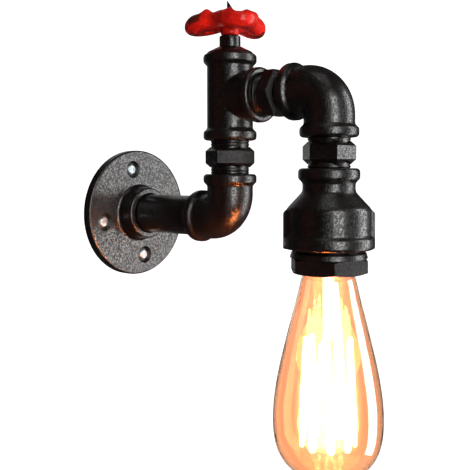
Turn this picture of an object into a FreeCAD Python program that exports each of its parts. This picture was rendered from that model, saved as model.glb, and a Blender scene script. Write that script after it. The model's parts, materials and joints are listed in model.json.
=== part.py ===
import FreeCAD, Part
import math
import os

# Industrial pipe wall light, in millimetres.
# The wall is the plane Y = 0, the light stands out from it along -Y, and +Z is up.
# The origin is the centre of the wall flange's back face.

# ---------------------------------------------------------------- driving sizes
PIPE_DIAMETER = 26.9            # 3/4 in pipe
PIPE_BORE = 21.6
PIPE_START = 4.0                # from the wall to the pipe's end in the flange
THREAD_DIAMETER = 26.44         # 3/4 in taper thread, taken as parallel
THREAD_ROOT_DIAMETER = 24.12
THREAD_PITCH = 1.814
THREAD_CREST = 0.5              # flat on the thread's crest
THREAD_FIT = 0.05               # radial clearance of a screwed joint
SOCKET_DEPTH = 12.6             # threaded depth of a fitting's end
END_CLEARANCE = 2.0             # from a screwed-in end to the thread's end

FLANGE_DIAMETER = 91.0
FLANGE_THICKNESS = 6.2
FLANGE_EDGE_ROUND = 1.6
HUB_HEIGHT = 17.9               # from the wall to the hub's front
HUB_DIAMETER = 36.0
HUB_FOOT_DIAMETER = 39.0
HUB_FOOT_ROUND = 2.5
HUB_FRONT_ROUND = 1.6
HUB_PIPE_RECESS = 1.4           # chamfer round the pipe in the hub's front
HUB_PIPE_GAP = 0.3              # pipe's shoulder to that chamfer

SCREW_COUNT = 4
SCREW_CIRCLE = 64.0
SCREW_TURN = 10.0               # degrees from the row's +X to the first screw
SCREW_HOLE = 5.2
COUNTERSINK_DIAMETER = 12.6
COUNTERSINK_DEPTH = 3.6
SCREW_SHANK = 4.0
SCREW_NECK = 4.3                # plain part inside the flange
SCREW_HEAD = 7.6
SCREW_HEAD_HEIGHT = 2.4
SCREW_LENGTH = 18.0
SCREW_POINT = 5.0
SCREW_SLOT_WIDTH = 1.0
SCREW_SLOT_LENGTH = 4.4
SCREW_SLOT_DEPTH = 1.3

REACH = 95.4                    # wall to the tee's upright axis
ELBOW_LEG = 28.35               # elbow centre to end
TEE_LEG = 27.9                  # tee centre to end
LOWER_JOINT_GAP = 21.9          # between lower elbow and tee
BRANCH_JOINT_GAP = 20.9         # between tee and upper elbow
DROP_JOINT_GAP = 18.0           # between upper elbow and bell
BAND_DIAMETER = 34.8
BAND_WIDTH = 6.5                # measured halfway up the band's sloping side
BAND_ROUND = 2.2
BODY_DIAMETER = 30.0
BRANCH_BODY_DIAMETER = 29.6
BRANCH_SEAM_ROUND = 2.4
CAVITY_DIAMETER = 23.4
BRANCH_CAVITY_DIAMETER = 23.0
BEND_RADIUS = 15.5              # centre line of an elbow
MOUTH_CHAMFER = 0.9

HEX_ACROSS_FLATS = 27.8
HEX_FACE_HEIGHT = 7.8           # upright part of a nipple's hexagon
HEX_BEVEL_HEIGHT = 2.8
HEX_BEVEL_RUN = 2.7             # how far a flat draws in over the bevel
NIPPLE_NECK_DIAMETER = 25.2     # painted thread that shows outside the fittings
NIPPLE_BORE = 20.0
LOWER_HEX_TURN = 11.6           # degrees, direction of one corner
BRANCH_HEX_TURN = 0.0
DROP_HEX_TURN = 50.2

BELL_TOP_BAND_DIAMETER = 36.2
BELL_TOP_BAND_WIDTH = 7.3
BELL_NECK_DIAMETER = 31.0
BELL_NECK_LENGTH = 6.4
BELL_CONE_LENGTH = 10.0
BELL_BODY_DIAMETER = 49.6
BELL_FOOT_BAND_DIAMETER = 53.6
BELL_FOOT_BAND_WIDTH = 7.6
BELL_WALL = 3.8
BELL_RIB_WIDTH = 8.0
BELL_RIB_HEIGHT = 27.5
BELL_RIB_TURN = -49.0           # degrees, direction of one rib
BELL_ROUND = 2.2
BELL_BAND_ROUND = 1.4

BUSHING_THREAD_DIAMETER = 41.9  # 1 1/4 in
BUSHING_THREAD_ROOT = 38.95
BUSHING_PITCH = 2.309
BUSHING_THREAD_LENGTH = 18.0
BUSHING_THREAD_SHOWN = 1.5
BUSHING_COLLAR = 3.4
BUSHING_COLLAR_DIAMETER = 43.6
BUSHING_COLLAR_ROUND = 1.3
BUSHING_COLLAR_FLARE = 1.0      # how much wider the collar's foot is, in radius
BUSHING_HEX_ACROSS_FLATS = 41.8
BUSHING_HEX_HEIGHT = 9.2
BUSHING_HEX_TURN = 42.0
BUSHING_HEX_CORNER_DROP = 1.2   # how far a corner is turned down

HOLDER_SLEEVE_DIAMETER = 32.2
HOLDER_SLEEVE_BORE = 28.6
HOLDER_FIT = 0.1
HOLDER_HEAD_DIAMETER = 34.0
HOLDER_HEAD_HEIGHT = 7.5
HOLDER_HEAD_CHAMFER = 3.5
HOLDER_FLOOR = 2.5              # ceramic between the shell and the head
HOLDER_RING_HEIGHT = 2.2
HOLDER_RING_DIAMETER = 34.6
HOLDER_RING_BORE = 29.6
HOLDER_RING_RECESS = 0.4
SHELL_WALL = 0.75
SHELL_MOUTH_RECESS = 1.5        # the sleeve's mouth to the shell's foot
CONTACT_DIAMETER = 9.0
CONTACT_THICKNESS = 0.8
CONTACT_RIVET_DIAMETER = 3.0
CONTACT_GAP = 0.3
TERMINAL_DIAMETER = 3.0
TERMINAL_HEAD_DIAMETER = 5.4
TERMINAL_HEAD_HEIGHT = 1.8
TERMINAL_FIT = 0.05
TERMINAL_DROP = 0.5             # below the middle of the leads' holes
TERMINAL_ROOM = 0.3             # from the heads up to the bell's cone

LEAD_DIAMETER = 2.4
LEAD_SPACING = 7.0
LEAD_BEND = 24.0
LEAD_START = 3.0                # from the wall to the leads' ends
LEAD_HOLE_FIT = 0.2
LEAD_HOLE_DEPTH = 6.0

BONNET_THREAD_LENGTH = 12.0
BONNET_DOME_HEIGHT = 4.6
BONNET_DOME_DIAMETER = 30.6
BONNET_RIM_HEIGHT = 1.2
BONNET_RIM_TAPER = 0.6
BONNET_SHOULDER = 1.0           # flat round the gland nut
BONNET_RIM_ROUND = 1.0
BONNET_DOME_ROUND = 2.0
BONNET_STUB_DIAMETER = 9.6
BONNET_STUB_HEIGHT = 3.6
BONNET_BORE_DEPTH = 10.0
BONNET_BORE_DIAMETER = 16.0
GLAND_NUT_DIAMETER = 13.8
GLAND_NUT_HEIGHT = 7.0
GLAND_NUT_WALL = 2.0
GLAND_NUT_FLATS = 12.4
GLAND_NUT_FLATS_HEIGHT = 3.6
GLAND_SEAT_GAP = 0.2
PACKING_DIAMETER = 9.0
SPINDLE_DIAMETER = 6.0
SPINDLE_FIT = 0.05
SPINDLE_COLLAR_DIAMETER = 10.0
SPINDLE_COLLAR_HEIGHT = 4.0
SPINDLE_SQUARE = 4.2
SPINDLE_SQUARE_FIT = 0.05
SPINDLE_TIP_DIAMETER = 4.0
SPINDLE_TIP_ABOVE_NUT = 7.6
SPINDLE_TIP_SLANT = 5.8         # height of the slanting cut across the tip
SPINDLE_TIP_TURN = 131.0        # degrees, direction of the cut's high side
SPINDLE_TIP_CHAMFER = 0.4
SPINDLE_PITCH = 0.8
RUNNING_GAP = 0.3

WHEEL_LOBE_COUNT = 3
WHEEL_MEAN_RADIUS = 18.0        # axis to the middle of the rim
WHEEL_WAVE = 6.0                # how far the rim swings out at a lobe
WHEEL_DROOP = 1.6               # how far the rim hangs at a lobe
WHEEL_LOBE_TURN = 0.0
RIM_HALF_WIDTH = 6.2
RIM_HALF_HEIGHT = 5.2
RIM_HEIGHT_ABOVE_HUB = 7.6      # hub's foot to the middle of the rim
WHEEL_HUB_DIAMETER = 12.4
WHEEL_HUB_HEIGHT = 11.0
WHEEL_HUB_ROUND = 1.6
ARM_WIDTH = 7.0
ARM_HEIGHT = 4.6
WASHER_DIAMETER = 10.0
WASHER_THICKNESS = 1.0
NUT_ACROSS_FLATS = 7.0
NUT_HEIGHT = 3.2
NUT_CORNER_DROP = 0.4

CAP_CREST_DIAMETER = 26.2
CAP_ROOT_DIAMETER = 24.4
CAP_WALL = 0.5
CAP_PITCH = 3.629
CAP_LENGTH = 17.6               # threaded shell of the cap
CAP_SHOULDER = 3.0
CAP_INSULATOR_DIAMETER = 15.0
CAP_INSULATOR_HEIGHT = 2.4
CAP_CONTACT_DIAMETER = 9.4
CAP_CONTACT_HEIGHT = 1.4
CAP_RIDGE_START = 3.6           # the rim to the cap's own ridge
CAP_TURNS = 3.25
SHELL_TURNS = 5.25
RIDGE_FOOT = 1.7
RIDGE_CREST = 0.8
RIDGE_DEPTH = 0.9
RIDGE_ROOT = 0.2                # how far a ridge's foot sinks into its wall
BULB_DIAMETER = 65.0
BULB_GLASS_WALL = 0.8
BULB_NECK_DIAMETER = 22.9
BULB_NECK_DEPTH = 8.0           # glass inside the cap
BULB_NECK_SHOWN = 0.4           # straight neck below the cap's rim
BULB_NECK_ROUND = 1.5
BULB_FLARE_DIAMETER = 31.2
BULB_FLARE_DROP = 6.4           # cap rim to the flare's end
BULB_FLARE_ROUND = 6.0
BULB_WAIST_DIAMETER = 44.4
BULB_WAIST_BELOW_FLARE = 27.8
BULB_WAIST_ROUND = 200.0
BULB_WIDEST_BELOW_WAIST = 57.3
BULB_FOOT_BELOW_WIDEST = 32.5
BULB_CHEEK_ROUND = 70.0
BULB_FOOT_ROUND = 25.0
BULB_FOOT_CROWN = 1.6           # how far the middle of the foot stands down
STEM_FLARE_DIAMETER = 20.8
STEM_FLARE_WALL = 1.0
STEM_FLARE_EDGE = 2.0
STEM_FLARE_HEIGHT = 9.0
STEM_HOLLOW = 3.0               # depth of the flare's dish
STEM_BELOW_NECK_END = 1.0
STEM_DIAMETER = 8.0
STEM_LENGTH = 42.0
STEM_FOOT_DIAMETER = 6.8
STEM_TAPER = 2.0                # the tube's foot down to the rod
STEM_FLARE_ROUND = 3.0
STEM_FOOT_ROUND = 1.5
STEM_BUTTON_DIAMETER = 5.4
STEM_BUTTON_HEIGHT = 3.0
STEM_BUTTON_NECK = 1.5
STEM_BUTTON_TIP = 0.5
SUPPORT_ROD_DIAMETER = 2.4
SUPPORT_ROD_LENGTH = 62.0
HOOK_WIRE_DIAMETER = 0.6
HOOK_WIRE_FIT = 0.03
HOOK_DEPTH = 0.6                # how deep the wires stand in the glass
HOOK_START_HEIGHT = 1.0         # over the stem's foot
LEAD_IN_START_HEIGHT = 2.0
HOOK_GAP = 0.3                  # wire's end to the filament
FILAMENT_DIAMETER = 0.8
FILAMENT_HAIRPIN_COUNT = 9
FILAMENT_HAIRPIN_WIDTH = 2.4
FILAMENT_BEND = 1.0
FILAMENT_TOP_RADIUS = 13.5
FILAMENT_FOOT_RADIUS = 15.8
FILAMENT_HEIGHT = 62.0
FILAMENT_TOP_BELOW_RIM = 42.0

# ---------------------------------------------------------------- places
TEE_HEIGHT = ELBOW_LEG + LOWER_JOINT_GAP + TEE_LEG
DROP_REACH = REACH + TEE_LEG + BRANCH_JOINT_GAP + ELBOW_LEG
BELL_TOP = TEE_HEIGHT - ELBOW_LEG - DROP_JOINT_GAP
TERMINAL_ABOVE_BUSHING = HOLDER_HEAD_HEIGHT - LEAD_HOLE_DEPTH / 2 - TERMINAL_DROP
TERMINAL_HEADROOM = TERMINAL_HEAD_DIAMETER / 2 + TERMINAL_ROOM
BUSHING_INSIDE_BELL = BUSHING_THREAD_LENGTH - BUSHING_THREAD_SHOWN
BELL_BODY_HEIGHT = BUSHING_INSIDE_BELL + TERMINAL_ABOVE_BUSHING + TERMINAL_HEADROOM
BELL_NECK_FOOT = BELL_BODY_HEIGHT + BELL_CONE_LENGTH
BELL_BAND_FOOT = BELL_NECK_FOOT + BELL_NECK_LENGTH
BELL_HEIGHT = BELL_BAND_FOOT + BELL_TOP_BAND_WIDTH
BELL_FOOT = BELL_TOP - BELL_HEIGHT
BUSHING_SHOULDER = BELL_FOOT - BUSHING_THREAD_SHOWN
BUSHING_TOP = BUSHING_SHOULDER + BUSHING_THREAD_LENGTH
BUSHING_FOOT = BUSHING_SHOULDER - BUSHING_COLLAR - BUSHING_HEX_HEIGHT
SLEEVE_FOOT = BUSHING_FOOT + HOLDER_RING_RECESS + HOLDER_RING_HEIGHT
SHELL_CEILING = BUSHING_TOP - HOLDER_FLOOR
CONTACT_FACE = SHELL_CEILING - CONTACT_THICKNESS
CAP_TIP = CONTACT_FACE - CONTACT_GAP
CAP_HEIGHT = CAP_CONTACT_HEIGHT + CAP_INSULATOR_HEIGHT + CAP_SHOULDER + CAP_LENGTH
CAP_RIM = CAP_TIP - CAP_HEIGHT
BULB_WAIST_DROP = BULB_FLARE_DROP + BULB_WAIST_BELOW_FLARE
BULB_WIDEST_DROP = BULB_WAIST_DROP + BULB_WIDEST_BELOW_WAIST
BULB_GLASS_LENGTH = BULB_WIDEST_DROP + BULB_FOOT_BELOW_WIDEST
HEAD_TOP = BUSHING_TOP + HOLDER_HEAD_HEIGHT
LEAD_HOLE_FOOT = HEAD_TOP - LEAD_HOLE_DEPTH
TEE_TOP = TEE_HEIGHT + TEE_LEG
DOME_TOP = TEE_TOP + BONNET_DOME_HEIGHT
GLAND_NUT_FOOT = DOME_TOP + GLAND_SEAT_GAP
GLAND_NUT_TOP = GLAND_NUT_FOOT + GLAND_NUT_HEIGHT
WHEEL_FOOT = GLAND_NUT_TOP + RUNNING_GAP
WHEEL_TOP = WHEEL_FOOT + WHEEL_HUB_HEIGHT
NUT_FOOT = WHEEL_TOP + WASHER_THICKNESS
SPINDLE_TIP = NUT_FOOT + NUT_HEIGHT + SPINDLE_TIP_ABOVE_NUT
MALE_RADIUS = THREAD_DIAMETER / 2
FEMALE_RADIUS = MALE_RADIUS + THREAD_FIT

UP = FreeCAD.Vector(0, 0, 1)
DOWN = FreeCAD.Vector(0, 0, -1)
TO_WALL = FreeCAD.Vector(0, 1, 0)
FROM_WALL = FreeCAD.Vector(0, -1, 0)
RIGHT = FreeCAD.Vector(1, 0, 0)
CENTRE = FreeCAD.Vector(0, 0, 0)


# ---------------------------------------------------------------- shared tools
def rounded_wire(corners, to_point):
    """Closed wire through corners (a, b) or (a, b, radius), each radius a tangent arc."""
    points = [to_point(corner[0], corner[1]) for corner in corners]
    radii = [corner[2] if len(corner) > 2 else 0.0 for corner in corners]
    count = len(points)
    starts, ends, middles = [], [], []
    for i in range(count):
        here = points[i]
        if radii[i] == 0.0:
            starts.append(here)
            ends.append(here)
            middles.append(None)
            continue
        back = (points[i - 1] - here).normalize()
        ahead = (points[(i + 1) % count] - here).normalize()
        half = back.getAngle(ahead) / 2
        run = radii[i] / math.tan(half)
        inward = (back + ahead).normalize()
        starts.append(here + back * run)
        ends.append(here + ahead * run)
        middles.append(here + inward * (radii[i] / math.sin(half) - radii[i]))
    edges = []
    for i in range(count):
        if middles[i] is not None:
            edges.append(Part.Arc(starts[i], middles[i], ends[i]).toShape())
        following = starts[(i + 1) % count]
        if ends[i].distanceToPoint(following) > 1e-6:
            edges.append(Part.LineSegment(ends[i], following).toShape())
    return Part.Wire(edges)


def turned(corners):
    """Solid turned about Z from corners (radius, height) or (radius, height, rounding)."""
    wire = rounded_wire(corners, lambda radius, height: FreeCAD.Vector(radius, 0, height))
    return Part.Face(wire).revolve(CENTRE, UP, 360)


def aimed(shape, direction, place=CENTRE):
    """Copy of a shape made along +Z, now pointing along direction from place."""
    copy = shape.copy()
    copy.Placement = FreeCAD.Placement(place, FreeCAD.Rotation(UP, direction))
    return copy


def rod(diameter, start, direction, length):
    """Plain cylinder."""
    return Part.makeCylinder(diameter / 2, length, start, direction)


def hexagon_wire(across_flats, turn, height):
    """Hexagon round Z at a height, with one corner at the angle turn."""
    reach = across_flats / math.sqrt(3)
    corners = []
    for i in range(7):
        angle = math.radians(turn + 60 * i)
        corners.append(FreeCAD.Vector(reach * math.cos(angle), reach * math.sin(angle), height))
    return Part.makePolygon(corners)


def hexagon(across_flats, height, turn, corner_drop=0.0):
    """Hexagonal block on Z, its corners turned down by corner_drop at both ends."""
    block = Part.Face(hexagon_wire(across_flats, turn, 0)).extrude(UP * height)
    if corner_drop == 0.0:
        return block
    flat = across_flats / 2
    reach = across_flats / math.sqrt(3)
    barrel_radius = reach + (reach - flat)
    barrel = turned([
        (0, 0),
        (flat, 0),
        (barrel_radius, corner_drop * 2),
        (barrel_radius, height - corner_drop * 2),
        (flat, height),
        (0, height),
    ])
    return block.common(barrel)


def thread_corners(crest, root, pitch, foot, top):
    """Corners of a threaded outside from foot up to top, as V grooves at the pitch."""
    corners = [(root, foot)]
    grooves = int((top - foot) / pitch)
    first = top - grooves * pitch
    flank = (pitch - THREAD_CREST) / 2
    for i in range(grooves):
        base = first + i * pitch
        corners.append((crest, base + flank))
        corners.append((crest, base + flank + THREAD_CREST))
        corners.append((root, base + pitch))
    return corners


def helical_ridge(radius, depth, foot, turns, place):
    """Helical ridge standing depth outwards (or, when negative, inwards) from radius."""
    helix = Part.makeHelix(CAP_PITCH, CAP_PITCH * turns, radius)
    sunk = radius - math.copysign(RIDGE_ROOT, depth)
    tip = radius + depth
    section = Part.makePolygon([
        FreeCAD.Vector(sunk, 0, -RIDGE_FOOT / 2),
        FreeCAD.Vector(tip, 0, -RIDGE_CREST / 2),
        FreeCAD.Vector(tip, 0, RIDGE_CREST / 2),
        FreeCAD.Vector(sunk, 0, RIDGE_FOOT / 2),
        FreeCAD.Vector(sunk, 0, -RIDGE_FOOT / 2),
    ])
    ridge = Part.Wire(helix.Edges).makePipeShell([section], True, True)
    ridge.translate(place + UP * foot)
    return ridge


def bent_wire(points, bend, diameter):
    """Round wire along straight runs joined by tangent arcs of the radius bend."""
    edges = []
    here = points[0]
    for i in range(1, len(points) - 1):
        corner = points[i]
        back = (points[i - 1] - corner).normalize()
        ahead = (points[i + 1] - corner).normalize()
        half = back.getAngle(ahead) / 2
        run = bend / math.tan(half)
        inward = (back + ahead).normalize()
        entry = corner + back * run
        leave = corner + ahead * run
        middle = corner + inward * (bend / math.sin(half) - bend)
        edges.append(Part.LineSegment(here, entry).toShape())
        edges.append(Part.Arc(entry, middle, leave).toShape())
        here = leave
    edges.append(Part.LineSegment(here, points[-1]).toShape())
    path = Part.Wire(edges)
    section = Part.Wire(Part.makeCircle(diameter / 2, points[0], points[1] - points[0]))
    tube = path.makePipeShell([section], True, False)
    expected = math.pi * diameter ** 2 / 4 * path.Length
    print(f"wire: length {path.Length:.1f}, volume {tube.Volume:.1f}, expected {expected:.1f}")
    return tube


def on_axis(reach):
    """Point of the horizontal centre line at this distance from the wall."""
    return FreeCAD.Vector(0, -reach, 0)


# ---------------------------------------------------------------- wall end
def screw_places():
    """Centres of the four screws on the flange's back face."""
    places = []
    for i in range(SCREW_COUNT):
        angle = math.radians(SCREW_TURN + 360 / SCREW_COUNT * i)
        places.append(FreeCAD.Vector(
            SCREW_CIRCLE / 2 * math.cos(angle), 0, SCREW_CIRCLE / 2 * math.sin(angle)))
    return places


def wall_flange():
    """Round flange with a drafted, bored hub and four countersunk holes."""
    body = turned([
        (FEMALE_RADIUS, 0),
        (FLANGE_DIAMETER / 2, 0),
        (FLANGE_DIAMETER / 2, FLANGE_THICKNESS, FLANGE_EDGE_ROUND),
        (HUB_FOOT_DIAMETER / 2, FLANGE_THICKNESS, HUB_FOOT_ROUND),
        (HUB_DIAMETER / 2, HUB_HEIGHT, HUB_FRONT_ROUND),
        (FEMALE_RADIUS + HUB_PIPE_RECESS, HUB_HEIGHT),
        (FEMALE_RADIUS, HUB_HEIGHT - HUB_PIPE_RECESS),
    ])
    flange = aimed(body, FROM_WALL)
    for place in screw_places():
        flange = flange.cut(rod(SCREW_HOLE, place, FROM_WALL, FLANGE_THICKNESS))
        sink = Part.makeCone(
            SCREW_HOLE / 2, COUNTERSINK_DIAMETER / 2, COUNTERSINK_DEPTH,
            place + FROM_WALL * (FLANGE_THICKNESS - COUNTERSINK_DEPTH), FROM_WALL)
        flange = flange.cut(sink)
    return flange


def wall_screw(neck_length):
    """Raised-head wood screw along Z: the head starts at height 0, its point is below."""
    head = SCREW_HEAD / 2
    shank = SCREW_SHANK / 2
    neck = SCREW_NECK / 2
    seat = head - neck
    screw = turned([
        (0, -SCREW_LENGTH),
        (shank, -SCREW_LENGTH + SCREW_POINT),
        (shank, -neck_length),
        (neck, -neck_length),
        (neck, 0),
        (head, seat),
        (head * 0.82, seat + SCREW_HEAD_HEIGHT * 0.5, 1.0),
        (0, seat + SCREW_HEAD_HEIGHT * 0.72),
    ])
    top = seat + SCREW_HEAD_HEIGHT
    for turn in (0, 90):
        slot = Part.makeBox(
            SCREW_SLOT_LENGTH, SCREW_SLOT_WIDTH, SCREW_HEAD_HEIGHT,
            FreeCAD.Vector(-SCREW_SLOT_LENGTH / 2, -SCREW_SLOT_WIDTH / 2, top - SCREW_SLOT_DEPTH))
        slot.rotate(CENTRE, UP, turn + 45)
        screw = screw.cut(slot)
    return screw


def wall_screws():
    """Four screws seated in the countersinks."""
    slope = (COUNTERSINK_DIAMETER - SCREW_HOLE) / 2 / COUNTERSINK_DEPTH
    head_edge_depth = (SCREW_HEAD - SCREW_HOLE) / 2 / slope
    seat = FLANGE_THICKNESS - COUNTERSINK_DEPTH + head_edge_depth
    neck = seat - (SCREW_HEAD - SCREW_NECK) / 2 + THREAD_FIT
    screws = [aimed(wall_screw(neck), FROM_WALL, place + FROM_WALL * neck)
              for place in screw_places()]
    return Part.makeCompound(screws)


def pipe_nipple():
    """Plain pipe screwed into the flange's hub and the lower elbow."""
    start = PIPE_START
    end = REACH - ELBOW_LEG + SOCKET_DEPTH - END_CLEARANCE
    outside_radius = PIPE_DIAMETER / 2
    shoulder = outside_radius - FEMALE_RADIUS + HUB_PIPE_GAP
    plain_start = HUB_HEIGHT - HUB_PIPE_RECESS + shoulder
    plain_end = REACH - ELBOW_LEG - MOUTH_CHAMFER
    crest, root = MALE_RADIUS, THREAD_ROOT_DIAMETER / 2
    outside = thread_corners(crest, root, THREAD_PITCH, start, plain_start)
    outside.append((outside_radius, plain_start))
    outside.append((outside_radius, plain_end))
    outside += thread_corners(crest, root, THREAD_PITCH, plain_end, end)
    pipe = turned([(PIPE_BORE / 2, start)] + outside + [(PIPE_BORE / 2, end)])
    return aimed(pipe, FROM_WALL)


# ---------------------------------------------------------------- fittings
def band_side(body_radius, band_radius, middle, towards, rounding):
    """Two corners of a band's sloping side, from the body to the band's outside.

    The slope is at 45 degrees and passes the height middle halfway up. The band
    lies above it (towards 1) or below it (towards -1).
    """
    half_rise = (band_radius - body_radius) / 2
    return [
        (body_radius, middle - towards * half_rise, rounding),
        (band_radius, middle + towards * half_rise, rounding),
    ]


def socket_outside(leg, start, body):
    """Outside of a fitting's end along Z, from start to its face at leg, with its band."""
    side = band_side(body / 2, BAND_DIAMETER / 2, leg - BAND_WIDTH, 1, BAND_ROUND)
    return turned(
        [(0, start), (body / 2, start)] + side
        + [(BAND_DIAMETER / 2, leg, BAND_ROUND), (0, leg)])


def socket_inside(leg, start, cavity):
    """Space inside a fitting's end: threaded depth with a chamfered mouth, then cavity."""
    return turned([
        (0, start),
        (cavity / 2, start),
        (cavity / 2, leg - SOCKET_DEPTH),
        (FEMALE_RADIUS, leg - SOCKET_DEPTH),
        (FEMALE_RADIUS, leg - MOUTH_CHAMFER),
        (FEMALE_RADIUS + MOUTH_CHAMFER, leg),
        (0, leg),
    ])


def quarter_bend(diameter, first, second):
    """Quarter of a torus from the first port's direction to the second's, about CENTRE."""
    middle = (first + second) * BEND_RADIUS
    disc = Part.Face(Part.Wire(Part.makeCircle(diameter / 2, first * BEND_RADIUS, first)))
    return disc.revolve(middle, second.cross(first), 90)


def elbow(first, second):
    """Banded elbow about CENTRE with ports along two directions."""
    outside = quarter_bend(BODY_DIAMETER, first, second)
    inside = quarter_bend(CAVITY_DIAMETER, first, second)
    for port in (first, second):
        leg_outside = socket_outside(ELBOW_LEG, BEND_RADIUS, BODY_DIAMETER)
        leg_inside = socket_inside(ELBOW_LEG, BEND_RADIUS, CAVITY_DIAMETER)
        outside = outside.fuse(aimed(leg_outside, port))
        inside = inside.fuse(aimed(leg_inside, port))
    return outside.cut(inside).removeSplitter()


def lower_elbow():
    """Elbow at the end of the wall pipe, turning up."""
    return aimed(elbow(TO_WALL, UP), UP, on_axis(REACH))


def upper_elbow():
    """Elbow that turns down to the bell."""
    return aimed(elbow(TO_WALL, DOWN), UP, on_axis(DROP_REACH) + UP * TEE_HEIGHT)


def tee():
    """Banded tee: upright run and a branch away from the wall."""
    body = socket_outside(TEE_LEG, 0, BODY_DIAMETER)
    branch = socket_outside(TEE_LEG, 0, BRANCH_BODY_DIAMETER)
    space = socket_inside(TEE_LEG, 0, CAVITY_DIAMETER)
    branch_space = socket_inside(TEE_LEG, 0, BRANCH_CAVITY_DIAMETER)
    outside = body.fuse([aimed(body, DOWN), aimed(branch, FROM_WALL)]).removeSplitter()
    joint = [edge for edge in outside.Edges if is_branch_seam(edge)]
    outside = outside.makeFillet(BRANCH_SEAM_ROUND, joint)
    inside = space.fuse([aimed(space, DOWN), aimed(branch_space, FROM_WALL)]).removeSplitter()
    shape = outside.cut(inside).removeSplitter()
    return aimed(shape, UP, on_axis(REACH) + UP * TEE_HEIGHT)


def is_branch_seam(edge):
    """True for the curved edge where the branch meets the tee's upright body."""
    box = edge.BoundBox
    crosses = box.ZLength > BODY_DIAMETER / 3 and box.YLength > 1.0
    return crosses and box.YMax < 1.0 and box.YMin > -BODY_DIAMETER / 2 - 0.1


def hex_nipple(turn, gap):
    """Hexagon nipple along Z, centred on its hexagon, for two fittings gap apart."""
    face = HEX_FACE_HEIGHT / 2
    shoulder = face + HEX_BEVEL_HEIGHT
    mouth = gap / 2
    end = mouth + SOCKET_DEPTH - END_CLEARANCE
    root = THREAD_ROOT_DIAMETER / 2
    block = hexagon(HEX_ACROSS_FLATS, HEX_FACE_HEIGHT, turn)
    block.translate(DOWN * face)
    bevel = Part.makeLoft([
        hexagon_wire(HEX_ACROSS_FLATS, turn, face),
        hexagon_wire(HEX_ACROSS_FLATS - 2 * HEX_BEVEL_RUN, turn, shoulder),
    ], True, True)
    other_bevel = bevel.mirror(CENTRE, UP)
    neck = thread_corners(NIPPLE_NECK_DIAMETER / 2, root, THREAD_PITCH, shoulder, mouth)
    threads = thread_corners(MALE_RADIUS, root, THREAD_PITCH, mouth, end)
    screwed = turned([(0, 0), (root, 0)] + neck + threads[1:] + [(0, end)])
    bore = rod(NIPPLE_BORE, DOWN * end, UP, 2 * end)
    return block.fuse([bevel, other_bevel, screwed, aimed(screwed, DOWN)]).cut(bore)


def lower_hex_nipple():
    """Nipple between the lower elbow and the tee."""
    height = ELBOW_LEG + LOWER_JOINT_GAP / 2
    nipple = hex_nipple(LOWER_HEX_TURN, LOWER_JOINT_GAP)
    return aimed(nipple, UP, on_axis(REACH) + UP * height)


def branch_hex_nipple():
    """Nipple between the tee's branch and the upper elbow."""
    reach = REACH + TEE_LEG + BRANCH_JOINT_GAP / 2
    nipple = hex_nipple(BRANCH_HEX_TURN, BRANCH_JOINT_GAP)
    return aimed(nipple, FROM_WALL, on_axis(reach) + UP * TEE_HEIGHT)


def drop_hex_nipple():
    """Nipple between the upper elbow and the bell."""
    height = BELL_TOP + DROP_JOINT_GAP / 2
    nipple = hex_nipple(DROP_HEX_TURN, DROP_JOINT_GAP)
    return aimed(nipple, UP, on_axis(DROP_REACH) + UP * height)


# ---------------------------------------------------------------- bell and bushing
def bell_reducer():
    """Reducing socket: small banded top, cone, body with two ribs, banded foot."""
    top_band = BELL_TOP_BAND_DIAMETER / 2
    neck = BELL_NECK_DIAMETER / 2
    body = BELL_BODY_DIAMETER / 2
    foot_band = BELL_FOOT_BAND_DIAMETER / 2
    foot_side = band_side(body, foot_band, BELL_FOOT_BAND_WIDTH, -1, BELL_BAND_ROUND)
    top_side = band_side(neck, top_band, BELL_BAND_FOOT, 1, BAND_ROUND)
    outside = turned(
        [(0, 0), (foot_band, 0, BAND_ROUND)] + foot_side[::-1]
        + [(body, BELL_BODY_HEIGHT, BELL_ROUND * 2), (neck, BELL_NECK_FOOT, BELL_ROUND * 2)]
        + top_side + [(top_band, BELL_HEIGHT, BAND_ROUND), (0, BELL_HEIGHT)])
    rib_limit_top = BELL_NECK_FOOT - BELL_ROUND
    rib = Part.makeBox(
        BELL_FOOT_BAND_DIAMETER, BELL_RIB_WIDTH, BELL_RIB_HEIGHT,
        FreeCAD.Vector(-foot_band, -BELL_RIB_WIDTH / 2, 0))
    rib_limit = turned([
        (0, 0),
        (foot_band, 0),
        (foot_band, BELL_BODY_HEIGHT - BELL_ROUND, BELL_ROUND),
        (neck, rib_limit_top),
        (0, rib_limit_top),
    ])
    rib = rib.common(rib_limit)
    rib.rotate(CENTRE, UP, BELL_RIB_TURN)
    thread = BUSHING_THREAD_DIAMETER / 2 + THREAD_FIT
    inside = turned([
        (0, 0),
        (thread + MOUTH_CHAMFER, 0),
        (thread, MOUTH_CHAMFER),
        (thread, BELL_BODY_HEIGHT),
        (CAVITY_DIAMETER / 2, BELL_NECK_FOOT - BELL_WALL / 2),
        (CAVITY_DIAMETER / 2, BELL_HEIGHT - SOCKET_DEPTH),
        (FEMALE_RADIUS, BELL_HEIGHT - SOCKET_DEPTH),
        (FEMALE_RADIUS, BELL_HEIGHT - MOUTH_CHAMFER),
        (FEMALE_RADIUS + MOUTH_CHAMFER, BELL_HEIGHT),
        (0, BELL_HEIGHT),
    ])
    bell = outside.fuse(rib).cut(inside).removeSplitter()
    return aimed(bell, UP, on_axis(DROP_REACH) + UP * BELL_FOOT)


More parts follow.
